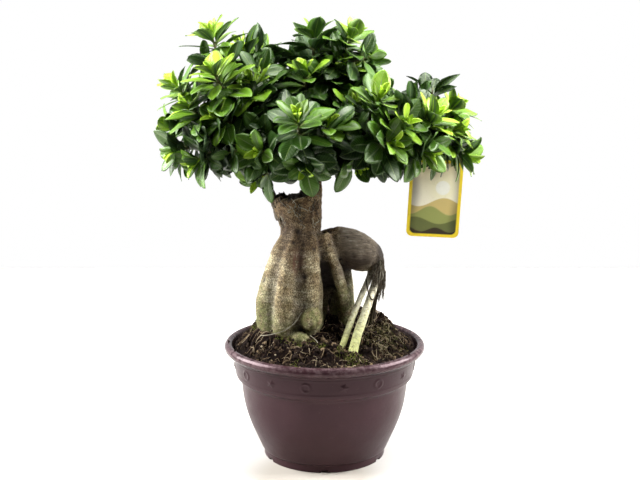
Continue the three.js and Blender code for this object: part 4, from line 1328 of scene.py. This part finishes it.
# age holds each leaf's age with the painted light and shade of its place in the crown.
shade = look.plus(look.times(look.value("age"), 0.62), look.times(look.value("tint"), 0.38))
shade = look.plus(shade, look.times(look.math("SUBTRACT", patch, 0.5), 0.35))
top = look.ramp(shade, (0.02, 0.265, 0.425, 0.022), (0.22, 0.140, 0.280, 0.012),
                (0.42, 0.056, 0.138, 0.007), (0.68, 0.017, 0.052, 0.004), (1.0, 0.0045, 0.0165, 0.003))
top = look.blend(fresh, top, look.ramp(patch, (0.3, 0.30, 0.50, 0.020), (0.7, 0.52, 0.72, 0.050)))
vein = look.math("SUBTRACT", look.times(along, 11), look.times(side, 2.4))
vein = look.step(0.14, 0.02, look.math("PINGPONG", vein, 0.5))
rib = look.step(0.075, 0.03, side)
drawn = look.math("MAXIMUM", look.times(vein, 0.16), look.times(rib, 0.55))
top = look.blend(drawn, top, look.blend(0.5, top, (0.30, 0.42, 0.10)))
below = look.blend(fresh, (0.062, 0.108, 0.052), (0.36, 0.50, 0.08))
below = look.blend(rib, below, (0.28, 0.36, 0.14), 0.5)
tone = look.blend(under, top, below)
blemish = look.step(0.735, 0.80, look.grain(2.4, detail=5, seed=4))
tone = look.blend(blemish, tone, (0.10, 0.075, 0.02), 0.55)
tone = look.blend(look.value("stalk"), tone, look.blend(fresh, (0.13, 0.16, 0.045), (0.35, 0.42, 0.07)))
twig_bark = look.ramp(look.grain(2), (0.35, 0.05, 0.045, 0.02), (0.7, 0.17, 0.15, 0.07))
tone = look.blend(look.value("wood"), tone, twig_bark)
gloss = look.plus(0.24, look.times(0.16, look.grain(7, detail=4, seed=6)))
gloss = look.plus(gloss, look.times(0.25, look.math("MAXIMUM", under, look.value("wood"))))
relief = look.plus(look.times(vein, -0.5), look.times(look.grain(2.2, detail=3), 0.5))
leaf_look = look.finish(tone, look.bump(relief, 0.22), Roughness=gloss)

# %% [markdown]
# The CAD has room for some of a shoot's leaves only. The crown of the photograph is closed, so more
# leaves are grown between them. Scattering them blindly would push leaves through each other. Here each
# new leaf tries several poses of the same kind, takes the one that stands farthest from all the
# leaves already there, and is left out where there is no room.

# %% Leaves between
ROOM_TRIES, MORE_TRIES, LEAST_ROOM, LEAST_ROOM_INSIDE = 10, 6, 2.0, 1.2
NEARBY = 75


def feelers(pose):
    """Points of a blade that are used to keep leaves apart."""
    line, _ = midrib(pose, np.array([0.3, 0.55, 0.8, 1, 0.45, 0.45, 0.7, 0.7]))
    sideways = np.array([0, 0, 0, 0, 0.42, -0.42, 0.35, -0.35])[:, None] * pose["width"]
    return line + sideways * pose["side"]


taken = np.vstack([feelers(pose) for row in poses for pose in row])
CROWN_MIDDLE = (taken.max(axis=0) + taken.min(axis=0)) / 2
CROWN_HALF = (taken.max(axis=0) - taken.min(axis=0)) / 2


def roomy(shoot, leaf, taken, least):
    """The pose that stands farthest from the leaves already there, or None if all are too close."""
    near = taken[np.linalg.norm(taken - shoot.tip, axis=1) < NEARBY]
    best, found = least, None
    for attempt in range(ROOM_TRIES):
        pose = leaf_pose(shoot, leaf, attempt)
        points = feelers(pose)
        room = np.linalg.norm(points[:, None] - near[None], axis=2).min() if len(near) else 99
        floor = mix(316, 302, smoothstep(45, 80, abs(points[:, 0] + 12)))
        if (points[:, 2] < floor).any() or np.any(np.abs(points - CROWN_MIDDLE) > CROWN_HALF):
            room = 0
        if room > best:
            best, found = room, pose
    return found


extras = []
for shoot in shoots:
    row = []
    tries = shoot.leaves + MORE_TRIES
    for k in range(tries):
        pose = roomy(shoot, (k + 0.5) * (shoot.leaves - 1) / tries, taken, LEAST_ROOM)
        if pose is not None:
            row.append(pose)
            taken = np.vstack([taken, feelers(pose)])
    extras.append(row)
print(sum(map(len, extras)), "more leaves between them")

# %% [markdown]
# New growth is what brightens the crown. At each tip stand three small upright leaves and a pointed
# bud, yellow-green and thinner than the rest. They could be left to the material alone, but their
# upright shape is what catches the light. The brightest shoots are named in `BRIGHT`. `painted_crown_light`
# paints shade on leaves low down and in the middle of the crown, and light on its top and right.

# %% Shoots of leaves
BRIGHT = (1, 2, 3, 8, 9, 12, 14, 16, 17, 18, 19, 33, 34, 36)
LEAF_VALUES = ("age", "tint", "fresh", "along", "across", "under", "stalk", "wood")
YOUNG_LEAVES = 3
BUD = ((-1, 1.2), (4, 1.35), (9, 0.9), (14, 0.15))


def young_pose(shoot, k):
    """Where the young leaf k stands, nearly in line with the shoot."""
    across = unit(np.cross((0.31, 0.17, 1), shoot.axis))
    turn = (k - 3) * GOLDEN_ANGLE + shoot.number
    radial = across * np.cos(turn) + np.cross(shoot.axis, across) * np.sin(turn)
    pitch = 0.16 + 0.10 * k
    direction = shoot.axis * np.cos(pitch) + radial * np.sin(pitch)
    normal = shoot.axis * np.sin(pitch) - radial * np.cos(pitch)
    length = 15 + 3.5 * k
    return {"place": shoot.tip + shoot.axis * (1.5 - k), "direction": direction, "normal": normal,
            "side": np.cross(direction, normal),
            "length": length, "width": length * 0.36, "bend": 0.3}


for shoot, row, more in zip(shoots, poses, extras):
    pile = Pile(*LEAF_VALUES)
    vigour = (0.65 if shoot.number in BRIGHT else 0) + 0.35 * leaf_draw.random()
    # Painted light and shade: leaves darker low down and in the crown's middle, lighter at its top and right.
    painted_crown_light = (0.28 * smoothstep(372, 335, shoot.tip[2]) - 0.37 * smoothstep(380, 425, shoot.tip[2])
                - 0.40 * smoothstep(60, 115, shoot.tip[0]) + 0.24 * smoothstep(60, 20, abs(shoot.tip[0] + 5)))
    for pose in row + more:
        vertices, faces, values = leaf_shell(pose)
        fresh = max(0, 1 - pose["age"] * 7) * (0.15 + 0.6 * vigour) * smoothstep(0.35, 0, painted_crown_light)
        pile.add(vertices, faces, age=pose["age"] + painted_crown_light, tint=leaf_draw.random(), fresh=fresh, **values)
    for k in range(YOUNG_LEAVES):
        vertices, faces, values = leaf_shell(young_pose(shoot, k), 0.9, 0.15, PLAIN)
        pile.add(vertices, faces, age=0, tint=leaf_draw.random(), fresh=0.45 + 0.55 * vigour, **values)
    bud = [[*(shoot.tip + shoot.axis * up), size] for up, size in BUD]
    pile.add_tube(bud, 8, 9, fresh=0.8, age=0, along=0.5, across=0.5)
    twig = [[*shoot.base, 1.85], [*((shoot.base + shoot.tip) / 2), 1.5], [*shoot.tip, 1.15]]
    pile.add_tube(twig, 9, 14, wood=1)
    piece(pile.mesh(f"leaves_{shoot.number:02d}"), leaf_look, "leaf", f"shoot_{shoot.number:02d}")

# %% [markdown]
# The leaves of the inner shoots are seen only through gaps, yet without them the white behind the
# plant would shine through the crown. A few big blades would close it too. These are plain leaves of
# the usual size, because gaps between true leaves look right from every side.

# %% Inner leaves
pile = Pile(*LEAF_VALUES)
inner_count = 0
for shoot in inner:
    for leaf in range(shoot.leaves):
        pose = roomy(shoot, leaf, taken, LEAST_ROOM_INSIDE)
        if pose is not None:
            inner_count += 1
            taken = np.vstack([taken, feelers(pose)])
            vertices, faces, values = leaf_shell(pose, detail=PLAIN)
            # Painted shade: inner leaves are darker, and lighter towards the top of the crown.
            age = 0.8 + 0.3 * pose["age"] - 0.35 * smoothstep(385, 430, pose["place"][2])
            pile.add(vertices, faces, age=age, tint=leaf_draw.random(), **values)
print(inner_count, "leaves inside the crown")
piece(pile.mesh("inner_leaves"), leaf_look, "leaf")

# %% [markdown]
# ## The care tag
#
# A stiff printed card hangs by its neck from a twig. It is cut with rounded corners and bends a
# little. Its print here is a plain design: a sun over layered hills in golden browns and greens
# inside a yellow border. An image texture would be usual for a print. The design is a formula instead,
# and its colours sit on the vertices of a fine grid, so the part carries its own print.

# %% Care tag print
TAG_WIDTH, TAG_HEIGHT, TAG_CORNER, TAG_THICKNESS = 57, 84, 6, 0.9
TAG_NECK_WIDTH, TAG_NECK_HEIGHT, TAG_HOLE_RADIUS = 14, 20, 4
CARD_YELLOW, BORDER_YELLOW = (0.86, 0.63, 0.045), np.array([0.92, 0.70, 0.035])
BORDER_CORNER = 9
SUN_X, SUN_Y = 8, 54
HILLS = [(38, 5, 0.11, 0.4, (0.66, 0.52, 0.20)), (29, 4.5, 0.15, 2.2, (0.34, 0.37, 0.115)),
         (18, 3.5, 0.12, 4.0, (0.15, 0.17, 0.055)), (8, 2.4, 0.2, 1.0, (0.042, 0.030, 0.017))]


def artwork(x, y):
    """The print's colour at a place on the card, in linear light."""
    print_colour = mix(np.array([1.0, 0.95, 0.76]), np.array([0.70, 0.58, 0.32]),
                       smoothstep(0.45, 1.1, y / TAG_HEIGHT)[:, None])
    sun = np.hypot(x - SUN_X, y - SUN_Y)
    glow = 0.9 * np.exp(-((sun / 17) ** 2))
    print_colour = mix(print_colour, np.array([0.98, 0.93, 0.62]), glow[:, None])
    print_colour = mix(print_colour, np.array([1.0, 0.99, 0.86]), (1 - smoothstep(7.2, 8.2, sun))[:, None])
    for level, swing, pace, phase, colour in HILLS:
        crest = level + swing * np.sin(pace * x + phase)
        print_colour = mix(print_colour, np.array(colour), smoothstep(crest + 0.5, crest - 0.5, y)[:, None])
    print_colour = print_colour * (1 - 0.6 * smoothstep(14, 27, np.abs(x + 2 * np.sin(0.1 * y))))[:, None]
    edge = np.minimum(TAG_WIDTH / 2 - np.abs(x), np.minimum(y, TAG_HEIGHT - y))
    beyond_x = np.maximum(np.abs(x) - (TAG_WIDTH / 2 - BORDER_CORNER), 0)
    beyond_y = np.maximum(np.maximum(BORDER_CORNER - y, y - (TAG_HEIGHT - BORDER_CORNER)), 0)
    corner = np.hypot(beyond_x, beyond_y)
    edge = np.where(corner > 0, np.minimum(edge, BORDER_CORNER - corner), edge)
    return mix(BORDER_YELLOW, print_colour, smoothstep(3.0, 3.6, edge)[:, None])


print("the sun's colour:", artwork(np.array([SUN_X]), np.array([SUN_Y]))[0].round(2))

# %% [markdown]
# The card is a front and a back joined by a rim, hung from its hole and rolled a little to one side.
# A solidify modifier would thicken a flat sheet as well, but it would make up the rim's colours. Rows
# stand closer together at the rounded corners, and the neck is a ring of points round the hole.

# %% Care tag
TAG_ROLL, TAG_HANG = 3, np.array([121.9, 8.5, 336.9])
TAG_ROWS, TAG_COLUMNS, CORNER_ROWS, NECK_SIDES = 96, 72, 14, 48
HOLE_Y = TAG_HEIGHT + TAG_NECK_HEIGHT - TAG_NECK_WIDTH / 2


def tag_point(x, y, front):
    """A point of the card, hung as in the CAD: x across, y up from the bottom edge."""
    below = y - HOLE_Y
    roll = np.radians(TAG_ROLL)
    curl = 0.5 * np.sin(np.pi * x / TAG_WIDTH + 0.4) * (1 - y / 110)
    depth = (-TAG_THICKNESS / 2 if front else TAG_THICKNESS / 2) + curl
    across = x * np.cos(roll) + below * np.sin(roll)
    return np.stack([across, depth, below * np.cos(roll) - x * np.sin(roll)], -1) + TAG_HANG


def both_sides(x, y):
    return np.vstack([tag_point(x, y, True), tag_point(x, y, False)])


def card(x, y):
    """A closed card from a grid of places: its vertices and faces."""
    rows, columns = x.shape
    i, j = np.meshgrid(np.arange(rows - 1), np.arange(columns - 1), indexing="ij")
    a = (i * columns + j).ravel()
    front = np.stack([a, a + 1, a + 1 + columns, a + columns], -1)
    back = front[:, ::-1] + rows * columns
    rim = np.concatenate([np.arange(columns), np.arange(1, rows) * columns + columns - 1,
                          (rows - 1) * columns + np.arange(columns - 2, -1, -1),
                          np.arange(rows - 2, 0, -1) * columns])
    after = np.roll(rim, -1)
    sides = np.stack([after, rim, rim + rows * columns, after + rows * columns], -1)
    return both_sides(x.ravel(), y.ravel()), [front, back, sides]


straight = np.linspace(TAG_CORNER, TAG_HEIGHT - TAG_CORNER, TAG_ROWS)
rows = np.concatenate([np.linspace(0, TAG_CORNER, CORNER_ROWS)[:-1], straight,
                       np.linspace(TAG_HEIGHT - TAG_CORNER, TAG_HEIGHT, CORNER_ROWS)[1:]])
inset = np.maximum(np.maximum(TAG_CORNER - rows, rows - (TAG_HEIGHT - TAG_CORNER)), 0)
half = TAG_WIDTH / 2 - TAG_CORNER + np.sqrt(np.maximum(TAG_CORNER**2 - inset**2, 0))
grid_x = half[:, None] * np.linspace(-1, 1, TAG_COLUMNS)
grid_y = np.repeat(rows[:, None], TAG_COLUMNS, axis=1)
pile = Pile()
pile.add(*card(grid_x, grid_y))

angle = np.linspace(0, 2 * np.pi, NECK_SIDES + 1)[:-1]
box = np.minimum(TAG_NECK_WIDTH / 2 / np.maximum(np.abs(np.cos(angle)), 1e-6),
                 (TAG_NECK_HEIGHT - TAG_NECK_WIDTH / 2) / np.maximum(-np.sin(angle), 1e-6))
reach = np.where(np.sin(angle) < 0, box, TAG_NECK_WIDTH / 2)
loop_x = np.append(reach * np.cos(angle), TAG_HOLE_RADIUS * np.cos(angle))
loop_y = HOLE_Y + np.append(reach * np.sin(angle), TAG_HOLE_RADIUS * np.sin(angle))
outer = np.arange(NECK_SIDES)
after = (outer + 1) % NECK_SIDES
hole, behind = NECK_SIDES, 2 * NECK_SIDES
front = np.stack([outer, after, after + hole, outer + hole], -1)
back = front[:, ::-1] + behind
edge_out = np.stack([after, outer, outer + behind, after + behind], -1)
edge_in = np.stack([outer + hole, after + hole, after + hole + behind, outer + hole + behind], -1)
pile.add(both_sides(loop_x, loop_y), [front, back, edge_out, edge_in])

printed = artwork(grid_x.ravel(), grid_y.ravel())
blank = np.broadcast_to(CARD_YELLOW, (pile.count - len(printed), 3))
colours = np.hstack([np.vstack([printed, blank]), np.ones((pile.count, 1))])
tag_mesh = pile.mesh("care_tag_card")
print_layer = tag_mesh.color_attributes.new("print", "FLOAT_COLOR", "POINT")
print_layer.data.foreach_set("color", colours.ravel())
print("printed points:", len(printed))

# %% [markdown]
# The card is coated board: smooth, half glossy, and a little mottled where its print has rubbed. A
# plain colour would look like plastic. So the print's own colours come from the vertices, with brown
# flecks over them and a slow wave in the surface.

# %% Card material
look = Shader("card", Roughness=0.35, Specular_IOR_Level=0.5)
ink = look.node("Attribute", attribute_name="print").outputs["Color"]
fleck = look.step(0.55, 0.8, look.grain(3, detail=5))
tone = look.blend(fleck, ink, (0.30, 0.22, 0.06), 0.18)
piece(tag_mesh, look.finish(tone, look.bump(look.grain(25, detail=2), 0.6)), "card", "care_tag")
for face in tag_mesh.polygons:
    face.use_smooth = False

# %% [markdown]
# ## Studio
#
# The photograph is high key: the plant stands on a white sweep that burns out to plain white. A curved
# backdrop would be the real set. A large pale plane does for the floor, and the sky's own white does
# for the rest. Close in front of the pot the floor is a little warmer and darker, a painted shadow
# and a painted reflection of the pot's colour.

# %% Floor
floor_mesh = bpy.data.meshes.new("floor")
floor_mesh.from_pydata([(-1.3, -0.45, 0), (1.3, -0.45, 0), (1.3, 1.0, 0), (-1.3, 1.0, 0)], [], [(0, 1, 2, 3)])
floor = into_scene("floor", floor_mesh)
look = Shader("paper", Roughness=0.9)
pale = look.ramp(look.grain(400), (0.4, 0.47, 0.455, 0.43), (0.6, 0.50, 0.485, 0.46))
# A painted shadow and reflection: the floor just in front of the pot is darker and warmer.
distance = look.node("VectorMath", {0: look.place, 1: (-0.012, -0.075, 0)}, operation="DISTANCE")
near = look.step(0.085, 0.045, distance.outputs["Value"])
pale = look.blend(near, pale, (0.76, 0.72, 0.66), mode="MULTIPLY")
floor_mesh.materials.append(look.finish(pale))
print("floor:", [round(x, 2) for x in floor.dimensions[:2]], "m")

# %% [markdown]
# The pot is darkest in its middle and pale at both sides, which large soft lights to the left and
# right give, with a darker room in front. One light from above couldn't do that. So two soft boxes
# stand beside the plant, a weaker one hangs above, and a faint one fills the front. Each is turned to
# the plant's middle.

# %% Lights
LIGHTS = [
    ("left_box", (-1.00, 0.04, 0.70), 0.8, 52.0),
    ("right_box", (1.00, 0.02, 0.80), 0.8, 46.0),
    ("top_box", (0.20, 0.10, 1.5), 0.8, 30.0),
    ("front_fill", (0.3, -1.6, 1.3), 0.7, 1.8),
]
AIM = np.array([0, 0, 0.25])
for name, place, size, power in LIGHTS:
    light = bpy.data.lights.new(name, "AREA")
    light.shape, light.size, light.energy = "SQUARE", size, power
    lamp = into_scene(name, light)
    lamp.location = place
    heading = AIM - np.array(place)
    lamp.rotation_euler = (np.arctan2(np.hypot(heading[0], heading[1]), -heading[2]), 0,
                           np.arctan2(heading[1], heading[0]) - np.pi / 2)
print("lights:", len(LIGHTS))

# %% [markdown]
# The room is the world's background. A studio panorama would bring an image with it. Instead the
# light that the room gives rises from dark in front of the plant to bright behind it, and the camera
# itself sees plain white.

# %% Room
ROOM_FRONT, ROOM_BACK = 0.05, 0.9

world = bpy.data.worlds.new("studio")
bpy.context.scene.world = world
world.use_nodes = True
nodes, links = world.node_tree.nodes, world.node_tree.links
seen = nodes.new("ShaderNodeLightPath").outputs["Is Camera Ray"]
way = nodes.new("ShaderNodeSeparateXYZ")
links.new(nodes.new("ShaderNodeTexCoord").outputs["Generated"], way.inputs[0])
room = nodes.new("ShaderNodeMapRange")
for name, value in (("From Min", -0.35), ("From Max", 0.55), ("To Min", ROOM_FRONT), ("To Max", ROOM_BACK)):
    room.inputs[name].default_value = value
links.new(way.outputs["Y"], room.inputs["Value"])
strength = nodes.new("ShaderNodeMapRange")
strength.inputs["To Max"].default_value = 1.0
links.new(seen, strength.inputs["Value"])
links.new(room.outputs[0], strength.inputs["To Min"])
links.new(strength.outputs[0], nodes["Background"].inputs["Strength"])
nodes["Background"].inputs["Color"].default_value = (1, 1, 1, 1)
bpy.context.scene.view_settings.view_transform = "Standard"
print("room light from", ROOM_FRONT, "in front to", ROOM_BACK, "behind")
